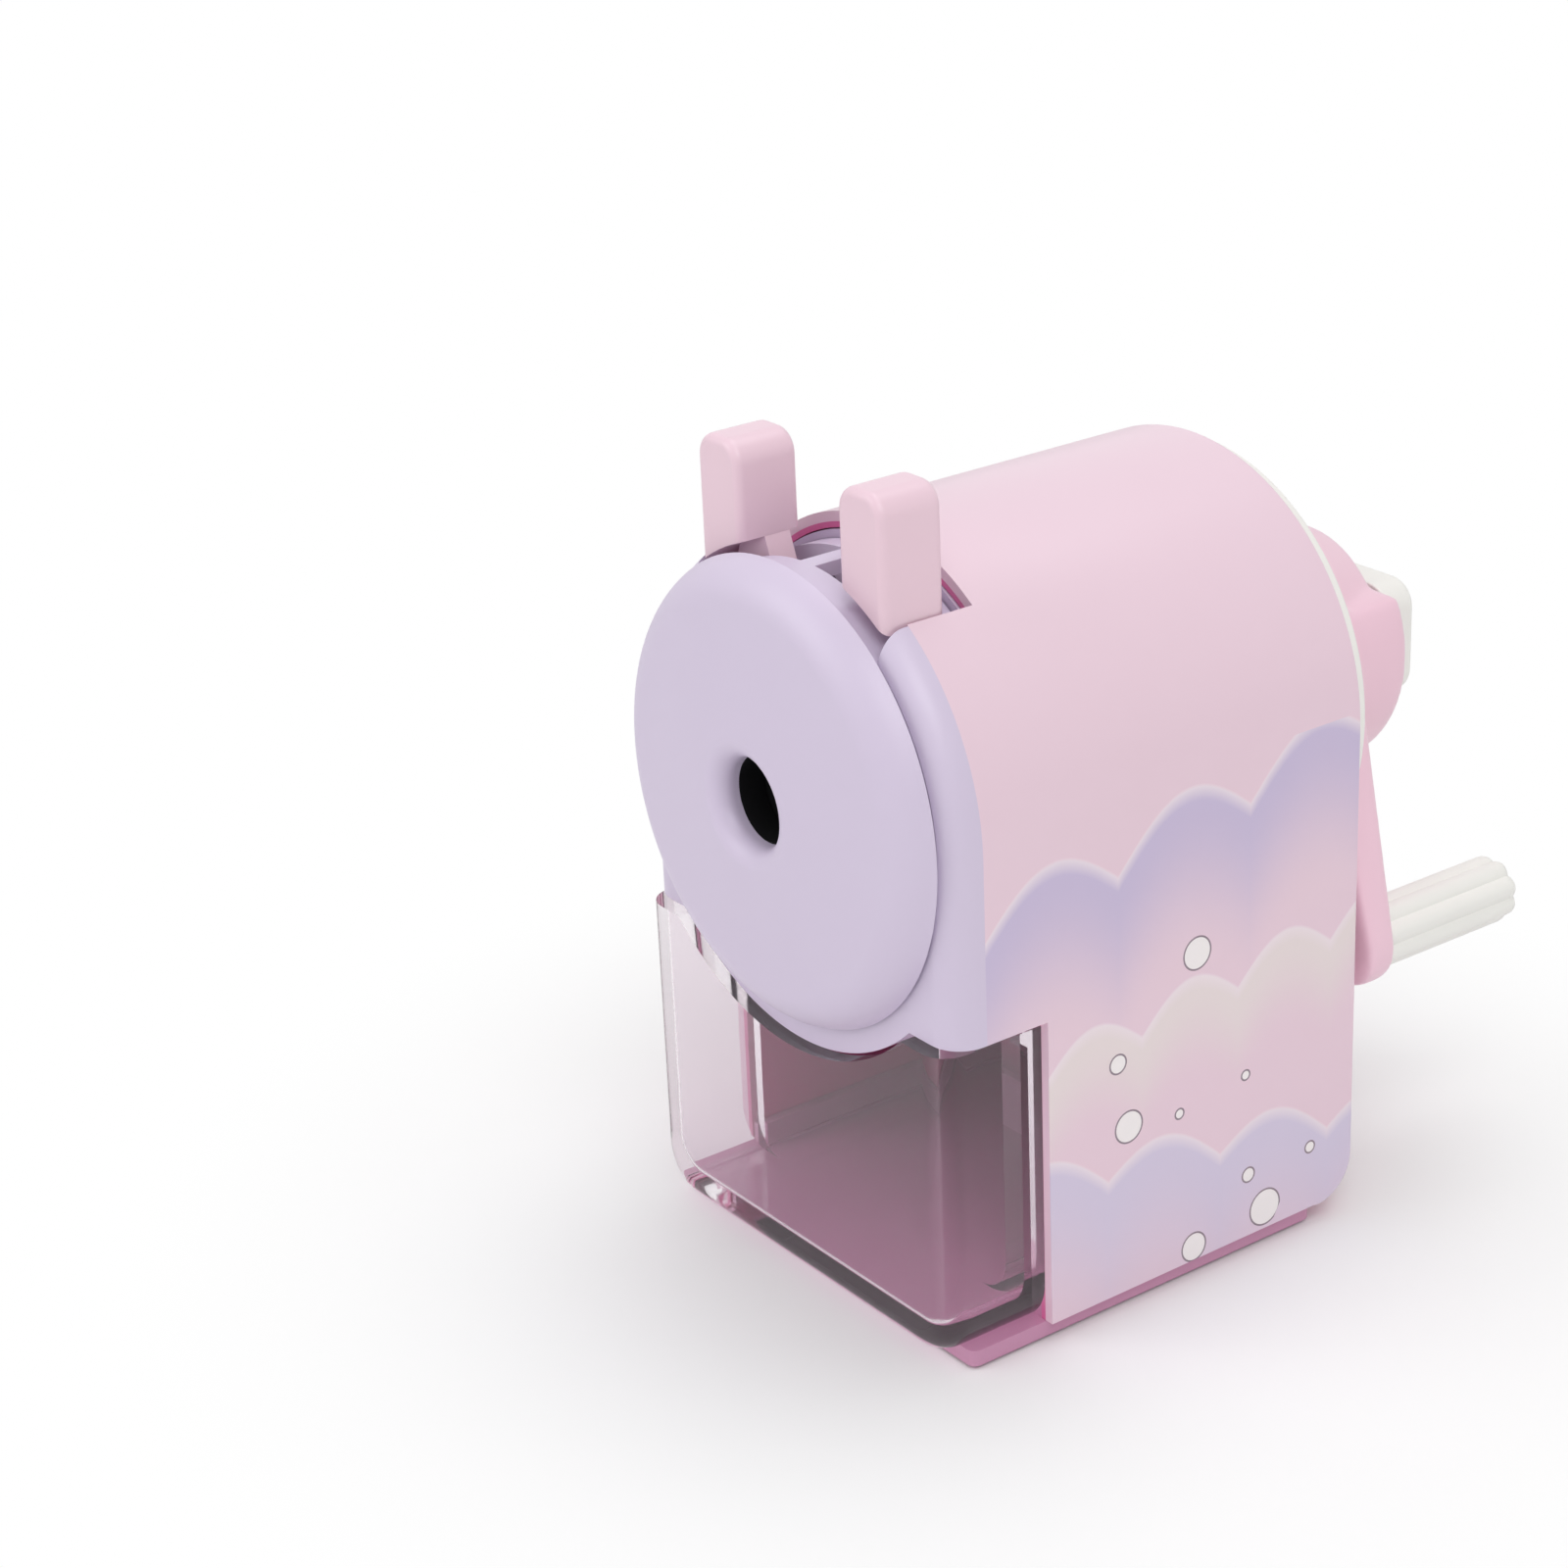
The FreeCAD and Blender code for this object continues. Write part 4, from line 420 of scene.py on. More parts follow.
@dataclass(frozen=True)
class Net:
    """Shader nodes of a material or of the world."""

    tree: bpy.types.NodeTree

    def add(self, kind: str, inputs: dict[Union[str, int], Input] | None = None,
            **settings: object) -> bpy.types.Node:
        """Add one node with its settings and links.

        Args:
            kind: the node's type without its leading ShaderNode.
            inputs: values or sockets by the name or number of the input.
            settings: the node's own properties.

        Returns:
            The new node.
        """
        node = self.tree.nodes.new("ShaderNode" + kind)
        for name, setting in settings.items():
            setattr(node, name, setting)
        for name, given in (inputs or {}).items():
            if isinstance(given, Socket):
                self.tree.links.new(given, node.inputs[name])
            else:
                node.inputs[name].default_value = given
        return node

    def place(self) -> Socket:
        """Place of a point on its object."""
        return self.add("TexCoord").outputs["Object"]

    def math(self, how: str, *terms: Input) -> Socket:
        """Calculate with values."""
        return self.add("Math", dict(enumerate(terms)), operation=how).outputs[0]

    def product(self, *shares: Socket) -> Socket:
        """Multiply shares with each other."""
        result = shares[0]
        for share in shares[1:]:
            result = self.math("MULTIPLY", result, share)
        return result

    def ramp(self, given: Socket, source: Pair, result: Pair, kind: str = "LINEAR",
             clamp: bool = True) -> Socket:
        """Map one range of values to another."""
        limits = {"From Min": source[0], "From Max": source[1], "To Min": result[0], "To Max": result[1]}
        node = self.add("MapRange", {"Value": given, **limits}, interpolation_type=kind, clamp=clamp)
        return node.outputs["Result"]

    def noise(self, place: Socket, size_mm: float, octaves: float) -> Socket:
        """Cloudy pattern with features of about one size."""
        inputs = {"Vector": place, "Scale": per_metre(size_mm), "Detail": octaves}
        return self.add("TexNoise", inputs).outputs["Fac"]

    def mix(self, share: Socket, first: Input, second: Input) -> Socket:
        """Blend one colour into another."""
        return self.add("Mix", {0: share, 6: first, 7: second}, data_type="RGBA").outputs[2]

    def blend(self, share: Socket, first: Socket, second: Socket) -> Socket:
        """Blend one shader into another."""
        return self.add("MixShader", {0: share, 1: first, 2: second}).outputs["Shader"]


@dataclass(frozen=True)
class Moulded:
    """Injection-moulded plastic: an even colour with faint flow clouds, and the mould's fine texture."""

    name: str
    colour: str
    cloud: str
    roughness: float
    ior: float | None = 1.53
    cloud_mm: float = 26.0
    wear_mm: float = 6.5
    grain_mm: float = 1.4
    relief_mm: float = 0.0015
    swing: float = 0.02

    def material(self) -> bpy.types.Material:
        """Make the finish's material once and give it again later."""
        made = bpy.data.materials.get(self.name)
        if made is None:
            made = bpy.data.materials.new(self.name)
            made.use_nodes = True
            made.node_tree.nodes.clear()
            self.fill(Net(made.node_tree))
        return made

    def fill(self, net: Net) -> None:
        """Lay out the material's nodes."""
        place = net.place()
        shader = net.add("BsdfPrincipled", {
            "Base Color": self.tint(net, place),
            "Roughness": self.gloss(net, place),
            "Normal": self.relief(net, place),
        })
        if self.ior is not None:
            shader.inputs["IOR"].default_value = self.ior
        net.add("OutputMaterial", {"Surface": self.surface(net, shader)})

    def tint(self, net: Net, place: Socket) -> Socket:
        """Colour with faint clouds where the melt flowed."""
        return net.mix(net.noise(place, self.cloud_mm, BROAD), linear(self.colour), linear(self.cloud))

    def gloss(self, net: Net, place: Socket) -> Socket:
        """Roughness that wanders a little over the surface."""
        limits = (self.roughness - self.swing, self.roughness + self.swing)
        return net.ramp(net.noise(place, self.wear_mm, FINE), NOISE_SPAN, limits)

    def relief(self, net: Net, place: Socket) -> Socket:
        """Fine unevenness of the skin."""
        grain = net.noise(place, self.grain_mm, BROAD)
        bump = net.add("Bump", {"Height": grain, "Distance": self.relief_mm * MM, "Strength": 1.0})
        return bump.outputs["Normal"]

    def surface(self, net: Net, shader: bpy.types.Node) -> Socket:
        """What the light meets: the shader, with what only some finishes add to it."""
        return shader.outputs["BSDF"]


@dataclass(frozen=True)
class Metal(Moulded):
    """Bare metal, with a grain as fine as its machining left it."""

    ior: float | None = None

    def surface(self, net: Net, shader: bpy.types.Node) -> Socket:
        """Make the surface metallic."""
        shader.inputs["Metallic"].default_value = 1.0
        return shader.outputs["BSDF"]


@dataclass(frozen=True)
class Clear(Moulded):
    """Clear polystyrene: see-through, with the faint waviness of a polished mould."""

    clarity: float = 0.97
    sheen: float = 0.25

    def surface(self, net: Net, shader: bpy.types.Node) -> Socket:
        """Let light through, and let the lamps light what lies behind."""
        shader.inputs["Transmission Weight"].default_value = self.clarity
        shader.inputs["Coat Weight"].default_value = self.sheen
        ray = net.add("LightPath").outputs
        passing = net.math("MAXIMUM", ray["Is Shadow Ray"], ray["Is Diffuse Ray"])
        through = net.add("BsdfTransparent", {"Color": linear(self.cloud)})
        return net.blend(passing, shader.outputs["BSDF"], through.outputs["BSDF"])


@dataclass(frozen=True)
class Wave:
    """One printed wash: a scalloped upper edge over the case's depth, fading away below it."""

    colour: str
    level: float
    slope: float
    rise: float
    pitch: float
    phase: float
    fade: float
    strength: float


@dataclass(frozen=True)
class Printed(Moulded):
    """Gloss plastic with a pad-printed design of soft waves and outlined bubbles on its right side, and painted
    shade on the inside faces of the case: a deeper, darker pink.

    Bubbles stand in the cells of a scattered pattern, and their radii and outlines are shares of a cell.
    """

    waves: tuple[Wave, ...] = ()
    side: float = 33.9
    soft: float = 0.5
    rim: float = 2.4
    rim_colour: str = "#F3E6EC"
    bubble_mm: float = 12.0
    bubble_colour: str = "#F6F0F0"
    scatter: float = 0.7
    chance: Pair = (0.2, 1.0)
    bubble_radius: Pair = (-0.05, 0.24)
    line_colour: str = "#8C7A86"
    line: float = 0.022
    bubble_top: float = 56.0
    bubble_rear: float = 30.0
    # Painted shade: a deeper, darker pink on the case's inside faces, out to a radius about the axis and up to a
    # depth.
    inside_shade: str = "#DB6FA3"
    inside_shade_radius: float = 32.6
    inside_shade_end: float = 35.4

    def tint(self, net: Net, place: Socket) -> Socket:
        """Lay the washes and then the bubbles over the moulded colour, and then the painted shade inside the case.
        """
        colour = super().tint(net, place)
        along = net.add("SeparateXYZ", {0: place}).outputs
        side = net.math("GREATER_THAN", along["X"], self.side * MM)
        rim = self.rim * MM
        for wave in self.waves:
            below = self.depth_below(net, along, wave)
            wash = net.ramp(below, (0.0, self.soft * MM), (0.0, wave.strength))
            fade = net.ramp(below, (rim, wave.fade * MM), (1.0, 0.0), kind="SMOOTHSTEP")
            edge = net.ramp(below, (0.0, rim), (1.0, 0.0))
            ink = net.mix(edge, linear(wave.colour), linear(self.rim_colour))
            colour = net.mix(net.product(wash, fade, side), colour, ink)
        return self.shade_inside(net, along, self.bubbles(net, along, side, colour))

    def shade_inside(self, net: Net, along: bpy.types.NodeOutputs, colour: Socket) -> Socket:
        """Painted shade: a deeper, darker pink on the faces inside the case, within the arch and ahead of the rear
        wall.
        """
        rise = net.math("MAXIMUM", net.math("SUBTRACT", along["Z"], AXIS * MM), 0.0)
        across = net.add("CombineXYZ", {0: along["X"], 1: rise}).outputs[0]
        out = net.add("VectorMath", {0: across}, operation="LENGTH").outputs["Value"]
        within = net.math("LESS_THAN", out, self.inside_shade_radius * MM)
        ahead = net.math("LESS_THAN", along["Y"], self.inside_shade_end * MM)
        return net.mix(net.product(within, ahead), colour, linear(self.inside_shade))

    @staticmethod
    def depth_below(net: Net, along: bpy.types.NodeOutputs, wave: Wave) -> Socket:
        """How far a point lies below a wash's upper edge."""
        turn = net.math("MULTIPLY_ADD", along["Y"], math.pi / (wave.pitch * MM),
                        math.pi * wave.phase / wave.pitch)
        bump = net.math("ABSOLUTE", net.math("SINE", turn))
        edge = net.math("MULTIPLY_ADD", bump, wave.rise * MM, wave.level * MM)
        lean = net.math("MULTIPLY_ADD", along["Y"], wave.slope, edge)
        return net.math("SUBTRACT", lean, along["Z"])

    def bubbles(self, net: Net, along: bpy.types.NodeOutputs, side: Socket, colour: Socket) -> Socket:
        """Round bubbles of several sizes with a thin outline, in some cells of the pattern."""
        flat = net.add("CombineXYZ", {0: along["Y"], 1: along["Z"]}).outputs[0]
        pattern = {"Vector": flat, "Scale": per_metre(self.bubble_mm), "Randomness": self.scatter}
        cells = net.add("TexVoronoi", pattern, voronoi_dimensions="2D").outputs
        drawn = net.add("SeparateColor", {0: cells["Color"]}).outputs["Red"]
        size = net.ramp(drawn, self.chance, self.bubble_radius, clamp=False)
        inside = net.math("SUBTRACT", size, cells["Distance"])
        centre = net.add("SeparateXYZ", {0: cells["Position"]}).outputs
        low = net.math("LESS_THAN", centre["Y"], self.bubble_top * MM)
        ahead = net.math("LESS_THAN", centre["X"], self.bubble_rear * MM)
        whole = net.math("GREATER_THAN", size, 2 * self.line)
        for width, ink in ((0.0, self.line_colour), (self.line, self.bubble_colour)):
            shape = net.math("GREATER_THAN", inside, width)
            colour = net.mix(net.product(shape, side, low, ahead, whole), colour, linear(ink))
        return colour


@dataclass(frozen=True)
class Sweep(Moulded):
    """Matt paper sweep: shaded close to the object, even white away from it."""

    near_mm: float = 45.0
    far_mm: float = 130.0

    def surface(self, net: Net, shader: bpy.types.Node) -> Socket:
        """Let the paper glow where it is seen far from the object."""
        away = net.add("VectorMath", {0: net.place()}, operation="LENGTH").outputs["Value"]
        far = net.ramp(away, (self.near_mm * MM, self.far_mm * MM), (0.0, 1.0), kind="SMOOTHSTEP")
        ray = net.add("LightPath").outputs
        seen = net.math("MAXIMUM", ray["Is Camera Ray"], ray["Is Transmission Ray"])
        glow = net.add("Emission", {"Color": linear(PURE_WHITE), "Strength": 1.0})
        return net.blend(net.product(seen, far), shader.outputs["BSDF"], glow.outputs["Emission"])


WAVES = (
    Wave("#C6BADA", level=66.0, slope=0.16, rise=7.0, pitch=23.0, phase=6.0, fade=26.0, strength=0.9),
    Wave("#EADFDD", level=41.0, slope=0.1, rise=5.0, pitch=17.0, phase=2.0, fade=16.0, strength=0.85),
    Wave("#D3CAE2", level=20.0, slope=-0.15, rise=5.0, pitch=20.0, phase=8.0, fade=30.0, strength=0.9),
)
# Polished mould: a clear sheen along the arch, and the print sits in the gloss. Inside the case the colour turns a
# deeper pink: painted shade.
SHELL_PINK = Printed("gloss_abs_shell_pink", "#EBD0DD", "#E9CDDA", roughness=0.3, waves=WAVES)
# Same plastic from a plainer mould: the gloss is wider and weaker. Its pink is deeper and darker than the shell's:
# painted shade, for the shade under the shell and inside the drawer.
BASE_PINK = Moulded("satin_abs_base_pink", "#CC95B4", "#C88FAF", roughness=0.4)
# Fine-blasted mould: highlights spread softly, so the face looks even from rim to hole.
LAVENDER = Moulded("satin_abs_lavender", "#D6CAE0", "#D3C6DD", roughness=0.4)
# Small polished parts that fingers touch: a tight bright line on each rounded edge.
LEVER_PINK = Moulded("gloss_abs_lever_pink", "#EDD0DC", "#EBCBD8", roughness=0.31)
# A warmer pink, polished: broad highlights roll over the boss.
CRANK_PINK = Moulded("gloss_abs_crank_pink", "#F3CDDC", "#F1C9D9", roughness=0.32)
# Slightly warm white, satin: reads as white against a white ground by its soft shading.
WHITE = Moulded("satin_abs_white", "#F4F3EE", "#F0EFEA", roughness=0.36)
# Polished mould on both sides: sharp reflections, bright edges, a faint ripple in what lies behind.
CLEAR = Clear("clear_polystyrene", "#F3EDF2", "#FBF6F9", roughness=0.03, ior=1.18, relief_mm=0.002,
              swing=0.015, grain_mm=6.0)
# Unpolished inside parts: no highlights. Their deep, dark pink is painted shade, standing for the shade inside the
# case.
INNER_SHADE = Moulded("matt_abs_inner_painted_shade", "#C9648F", "#C15C88", roughness=0.55, relief_mm=0.01)
# Moulded nitrile with a blasted skin: near black, only a dull glow where it faces the light.
RUBBER = Moulded("black_rubber", "#08080A", "#0D0D0F", roughness=0.75, ior=1.3, grain_mm=0.5, relief_mm=0.02)
# Ground and polished rods: a bright streak along the axis.
STEEL = Metal("ground_steel", "#C9CACD", "#BDBEC2", roughness=0.31, grain_mm=0.4, relief_mm=0.004)
# Wire drawn through a die: each turn has a thin bright line.
SPRING_STEEL = Metal("drawn_spring_steel", "#B9BBC0", "#AEB0B6", roughness=0.24, grain_mm=0.3,
                     relief_mm=0.003)
# Milled and hardened: darker, with a fine grain that breaks the highlight.
CUTTER_STEEL = Metal("milled_tool_steel", "#9C9DA1", "#8E8F94", roughness=0.34, grain_mm=0.3, relief_mm=0.006)
# Cast zinc: dull grey metal with a cloudy skin.
ZINC = Metal("zinc_casting", "#B4B6BA", "#A9ABB0", roughness=0.42, grain_mm=0.6, relief_mm=0.012, swing=0.06)
# Undyed acetal: waxy white.
ACETAL = Moulded("natural_acetal", "#E6E6E1", "#DFDFD9", roughness=0.4)
# Sintered bush: yellow metal with open pores that dull it.
BRASS = Metal("sintered_brass", "#C9A865", "#BE9C59", roughness=0.38, grain_mm=0.35, relief_mm=0.01)
# Foam rubber: pale grey, matt and finely pitted.
PAD = Moulded("foam_rubber_pad", "#CFCBCE", "#C8C3C7", roughness=0.8, grain_mm=0.6, relief_mm=0.06)
# Seamless paper: no gloss, so the object's shadow is all that is seen of it.
FLOOR = Sweep("matt_paper_sweep", "#FAFAFA", "#F8F8F8", roughness=0.9)

NODE_FINISH = {
    "outer_shell": SHELL_PINK, "base_plate": BASE_PINK, "anti_slip_pad": PAD, "front_frame": LAVENDER,
    "cutter_housing": INNER_SHADE, "housing_screws": STEEL, "rear_ring": WHITE, "shaft_bush": BRASS,
    "ring_gear": ACETAL, "left_feed_spring": STEEL, "right_feed_spring": STEEL, "cutter_carrier": ZINC,
    "cutter_axle": STEEL, "crank_shaft": STEEL, "crank_arm": CRANK_PINK, "crank_nut": STEEL,
    "handle_pin": STEEL, "helical_cutter": CUTTER_STEEL, "cutter_pinion": CUTTER_STEEL, "handle_grip": WHITE,
    "point_adjuster_knob": WHITE, "stop_rod": STEEL, "face_disc": LAVENDER, "carriage_plate": LAVENDER,
    "lever_pivot_pins": STEEL, "left_guide_rod": STEEL, "right_guide_rod": STEEL, "left_rod_clip": STEEL,
    "right_rod_clip": STEEL, "lever_spring": STEEL, "left_lever": LEVER_PINK, "left_jaw": RUBBER,
    "right_lever": LEVER_PINK, "right_jaw": RUBBER, "drawer": CLEAR,
}


@dataclass(frozen=True)
class PhotoCamera:
    """Camera at the photograph's place, fitted to the object's edges."""

    place: Triple = (341.0, -272.8, 251.7)
    azimuth: float = 54.96
    elevation: float = 23.01
    roll: float = -2.656
    focal_px: float = 3552.0
    frame_px: float = 1600.0
    sensor_mm: float = 36.0
    clip_mm: float = 10.0

    def build(self) -> None:
        """Add the camera and make it the scene's."""
        lens = bpy.data.cameras.new("photo_camera")
        lens.sensor_width = self.sensor_mm
        lens.lens = self.focal_px / self.frame_px * self.sensor_mm
        lens.clip_start = self.clip_mm * MM
        camera = bpy.data.objects.new("photo_camera", lens)
        bpy.context.scene.collection.objects.link(camera)
        azimuth, elevation, roll = (math.radians(a) for a in (self.azimuth, self.elevation, self.roll))
        back = Vector((math.sin(azimuth) * math.cos(elevation), -math.cos(azimuth) * math.cos(elevation),
                       math.sin(elevation)))
        level = Vector((math.cos(azimuth), math.sin(azimuth), 0))
        rise = back.cross(level)
        right = level * math.cos(roll) + rise * math.sin(roll)
        up = rise * math.cos(roll) - level * math.sin(roll)
        turn = Matrix((right, up, back)).transposed().to_4x4()
        camera.matrix_world = Matrix.Translation(Vector(self.place) * MM) @ turn
        bpy.context.scene.camera = camera


@dataclass(frozen=True)
class Softbox:
    """One large lamp, aimed at the object; its place and size are in metres, its power in watts."""

    name: str
    place: Triple
    size: float
    power: float

    def build(self, target: Vector) -> None:
        """Add the lamp, facing a point."""
        lamp = bpy.data.lights.new(self.name, "AREA")
        lamp.shape = "DISK"
        lamp.size = self.size
        lamp.energy = self.power
        holder = bpy.data.objects.new(self.name, lamp)
        bpy.context.scene.collection.objects.link(holder)
        holder.location = self.place
        holder.rotation_euler = (Vector(self.place) - target).to_track_quat("Z", "Y").to_euler()


class Studio:
    """Pale floor, soft lamps and an even white surround; places and sizes are in metres."""

    target = Vector((0.0, 0.0, 0.06))
    floor_size = 8.0
    ambient = 0.46
    lamps = (
        Softbox("key_softbox", (0.75, -0.35, 0.95), size=0.8, power=4.6),
        Softbox("fill_softbox", (-0.55, -0.95, 0.75), size=0.9, power=3.7),
        Softbox("top_softbox", (-0.1, 0.25, 1.2), size=0.9, power=3.7),
    )

    def build(self) -> None:
        """Set the stage."""
        bpy.context.scene.view_settings.view_transform = "Standard"
        self.surround()
        self.floor()
        for lamp in self.lamps:
            lamp.build(self.target)

    def surround(self) -> None:
        """White world for what is seen and mirrored, softer where it lights."""
        world = bpy.data.worlds.new("studio")
        bpy.context.scene.world = world
        world.use_nodes = True
        world.node_tree.nodes.clear()
        net = Net(world.node_tree)
        ray = net.add("LightPath").outputs
        seen = net.math("MAXIMUM", ray["Is Camera Ray"], ray["Is Glossy Ray"])
        seen = net.math("MAXIMUM", seen, ray["Is Transmission Ray"])
        glow = net.ramp(seen, (0.0, 1.0), (self.ambient, 1.0))
        light = net.add("Background", {"Color": linear(PURE_WHITE), "Strength": glow})
        net.add("OutputWorld", {"Surface": light.outputs["Background"]})

    def floor(self) -> None:
        """Plain white floor that takes the shadow near the object and runs out into the white surround."""
        bpy.ops.object.select_all(action="DESELECT")
        bpy.ops.mesh.primitive_plane_add(size=self.floor_size)
        floor = bpy.context.object
        floor.name = "floor"
        floor.data.materials.append(FLOOR.material())


@dataclass(frozen=True)
class Casing:
    """What stands still: shell, front frame, base plate with its pad, and the white ring behind the shell."""

    half: float = 34.0
    depth: Pair = (-28.0, 37.0)
    wall: float = 2.2
    lift: float = 2.9
    corner: float = 6.5
    rear_edge: float = 0.8
    edge: float = 0.3
    window: Pair = (-18.0, 48.0)
    notch: Pair = (20.0, -17.7)
    shaft_hole: float = 8.9
    bezel_half: float = 34.0
    bezel_front: float = -33.3
    bezel_round: float = 4.6
    frame_edge: float = 0.5
    skirt_half: float = 31.6
    bulkhead: Pair = (-18.0, -15.6)
    pocket: float = 31.1
    collar: float = 35.5
    pencil_way: float = 6.5
    guide_boss: float = 4.0
    guide_bore: float = 1.83
    guide_rear: float = -10.0
    screw: Pair = (13.576, 21.725)
    screw_hole: float = 1.36
    base_half: float = 32.7
    base_end: float = 30.5
    base_height: Pair = (0.6, 2.9)
    base_round: float = 1.2
    lip: Triple = (1.8, 4.0, 9.0)
    pad_half: Pair = (27.7, 25.5)
    pad_top: float = 1.5
    pad_round: float = 4.0
    pad_rim: float = 3.0
    pad_sink: float = 0.25
    pad_edge: float = 0.2
    ring_radius: float = 32.8
    ring_rear: float = 39.2
    ring_round: float = 0.7

    def build(self) -> None:
        """Model and dress every piece."""
        self.shell().dress(SHELL_PINK, Body.CASE, "shell_pink", "outer_shell")
        self.frame().dress(LAVENDER, Body.CASE, "lavender", "front_frame")
        self.base().dress(BASE_PINK, Body.CASE, "base_pink", "base_plate")
        self.pad().dress(PAD, Body.CASE, "pad", "anti_slip_pad")
        self.ring().dress(WHITE, Body.CASE, "white", "rear_ring")

    def shell(self) -> Piece:
        """Tunnel with a rear wall, rounded behind and below, with its lever notch and side windows."""
        front, rear = self.depth
        knee = self.lift + self.corner
        shell = Piece.arch("shell_moulding", self.half, self.lift, self.depth)
        shell.bevel(lambda at: lies(at, "y", rear) and lies(at, "z", self.lift), self.corner, segments=12)
        shell.bevel(lambda at: lies(at, "y", rear) and max(v.z for v in at) > knee + NEAR
                    or all(abs(abs(v.x) - self.half) < NEAR and v.z < knee + NEAR for v in at)
                    and min(v.y for v in at) > rear - self.corner - NEAR, self.rear_edge, segments=4)
        inner = self.half - self.wall
        back = rear - self.wall
        deck = self.lift + self.wall
        hollow = Piece.arch("shell_hollow", inner, deck, (front - PAST, back))
        hollow.bevel(lambda at: lies(at, "y", back) and lies(at, "z", deck), self.corner - self.wall,
                     segments=8)
        mouth = Piece.block("shell_mouth", (-inner, front - PAST, -PAST),
                            (inner, self.base_end + PLAY, deck + PAST))
        window = Piece.block("shell_window", (-2 * self.half, front - PAST, -PAST),
                             (2 * self.half, *self.window))
        notch = Piece.block("shell_notch", (-self.notch[0], front - PAST, AXIS),
                            (self.notch[0], self.notch[1], AXIS + 2 * self.half))
        hole = Piece.rod("shell_hole", self.shaft_hole, (back - PAST, rear + PAST))
        return shell.cut(hollow, mouth, window, notch, hole).soften(self.edge)

    def frame(self) -> Piece:
        """Bezel with a full round edge, pocket for the carriage, collar below it, and bulkhead."""
        top = self.window[1]
        floor, rear = self.bulkhead
        front = self.bezel_front
        frame = Piece.arch("bezel_moulding", self.bezel_half, top, (front, self.depth[0]))
        frame.bevel(lambda at: lies(at, "y", front) and max(v.z for v in at) > top + NEAR
                    and not lies(at, "z", AXIS), self.bezel_round, segments=10)
        skirt = Piece.arch("frame_skirt", self.skirt_half, top, (self.depth[0] - LAP, rear))
        collar = Piece.rod("frame_collar", self.collar, (front, rear))
        limits = Piece.block("collar_limits", (-self.skirt_half, front - PAST, 0.0),
                             (self.skirt_half, rear + PAST, top + LAP))
        frame.join(skirt, collar.trim(limits))
        for side in MIRRORED:
            centre = (side * GUIDE[0], GUIDE[1])
            frame.join(Piece.rod("guide_boss", self.guide_boss, (rear - LAP, self.guide_rear), centre, ROUND_BOSS))
            frame.cut(Piece.rod("guide_bore", self.guide_bore, (front, 0.0), centre, ROUND_PIN))
        pocket = Piece.rod("frame_pocket", self.pocket, (front - PAST, floor))
        notch = Piece.block("frame_notch", (-self.notch[0] - PLAY, front - PAST, AXIS),
                            (self.notch[0] + PLAY, floor, AXIS + 2 * self.half))
        way = Piece.rod("frame_way", self.pencil_way, (front, 0.0), sides=ROUND_BORE)
        frame.cut(pocket, notch, way).soften(self.frame_edge, segments=4)
        # The screws' holes come last, because edges as short as theirs would hold back the softening.
        for side in MIRRORED:
            for level in MIRRORED:
                place = (side * self.screw[0], AXIS + level * self.screw[1])
                frame.cut(Piece.rod("screw_hole", self.screw_hole, (floor - LAP, rear + LAP), place, ROUND_PIN))
        return frame.smooth()

    def base(self) -> Piece:
        """Base plate with a lip that locates the shell and a recess for the pad."""
        low, high = self.base_height
        wall, rise, rear_rise = self.lip
        end = self.base_end
        base = Piece.block("base_moulding", (-self.base_half, -end, low), (self.base_half, end, high))
        base.bevel(lambda at: runs(at, "z"), self.base_round)
        out = self.skirt_half
        start = self.window[0] + PLAY
        inner = self.half - self.wall - wall
        lips = [Piece.block("base_lip", (x[0], start, high - LAP), (x[1], end, high + rise))
                for x in ((inner, out), (-out, -inner))]
        rear = Piece.block("base_lip_rear", (-out, end - wall, high - LAP), (out, end, high + rear_rise))
        base.join(*lips, rear)
        return base.cut(self.sheet("base_recess")).soften(self.edge)

    def sheet(self, name: str) -> Piece:
        """Sheet with round corners from the table into the base plate."""
        x, y = self.pad_half
        sheet = Piece.block(name, (-x, -y, 0.0), (x, y, self.pad_top))
        return sheet.bevel(lambda at: runs(at, "z"), self.pad_round, segments=10)

    def pad(self) -> Piece:
        """Anti-slip pad with a soft lower edge and a sunken middle."""
        pad = self.sheet("slip_pad")
        pad.select(Element.FACE, lambda at: lies(at, "z", 0.0))
        pad.edit(bpy.ops.mesh.inset, thickness=self.pad_rim * MM)
        return pad.pull((0.0, 0.0, self.pad_sink)).soften(self.pad_edge)

    def ring(self) -> Piece:
        """White ring with a softly rounded rim."""
        front, rear, out, soft = self.depth[1], self.ring_rear, self.ring_radius, self.ring_round
        profile = [(self.shaft_hole, front), (out, front), *arc((out - soft, rear - soft), soft, 0.0, 90.0),
                   (self.shaft_hole, rear)]
        return Piece.lathe("backing_ring", profile).smooth()


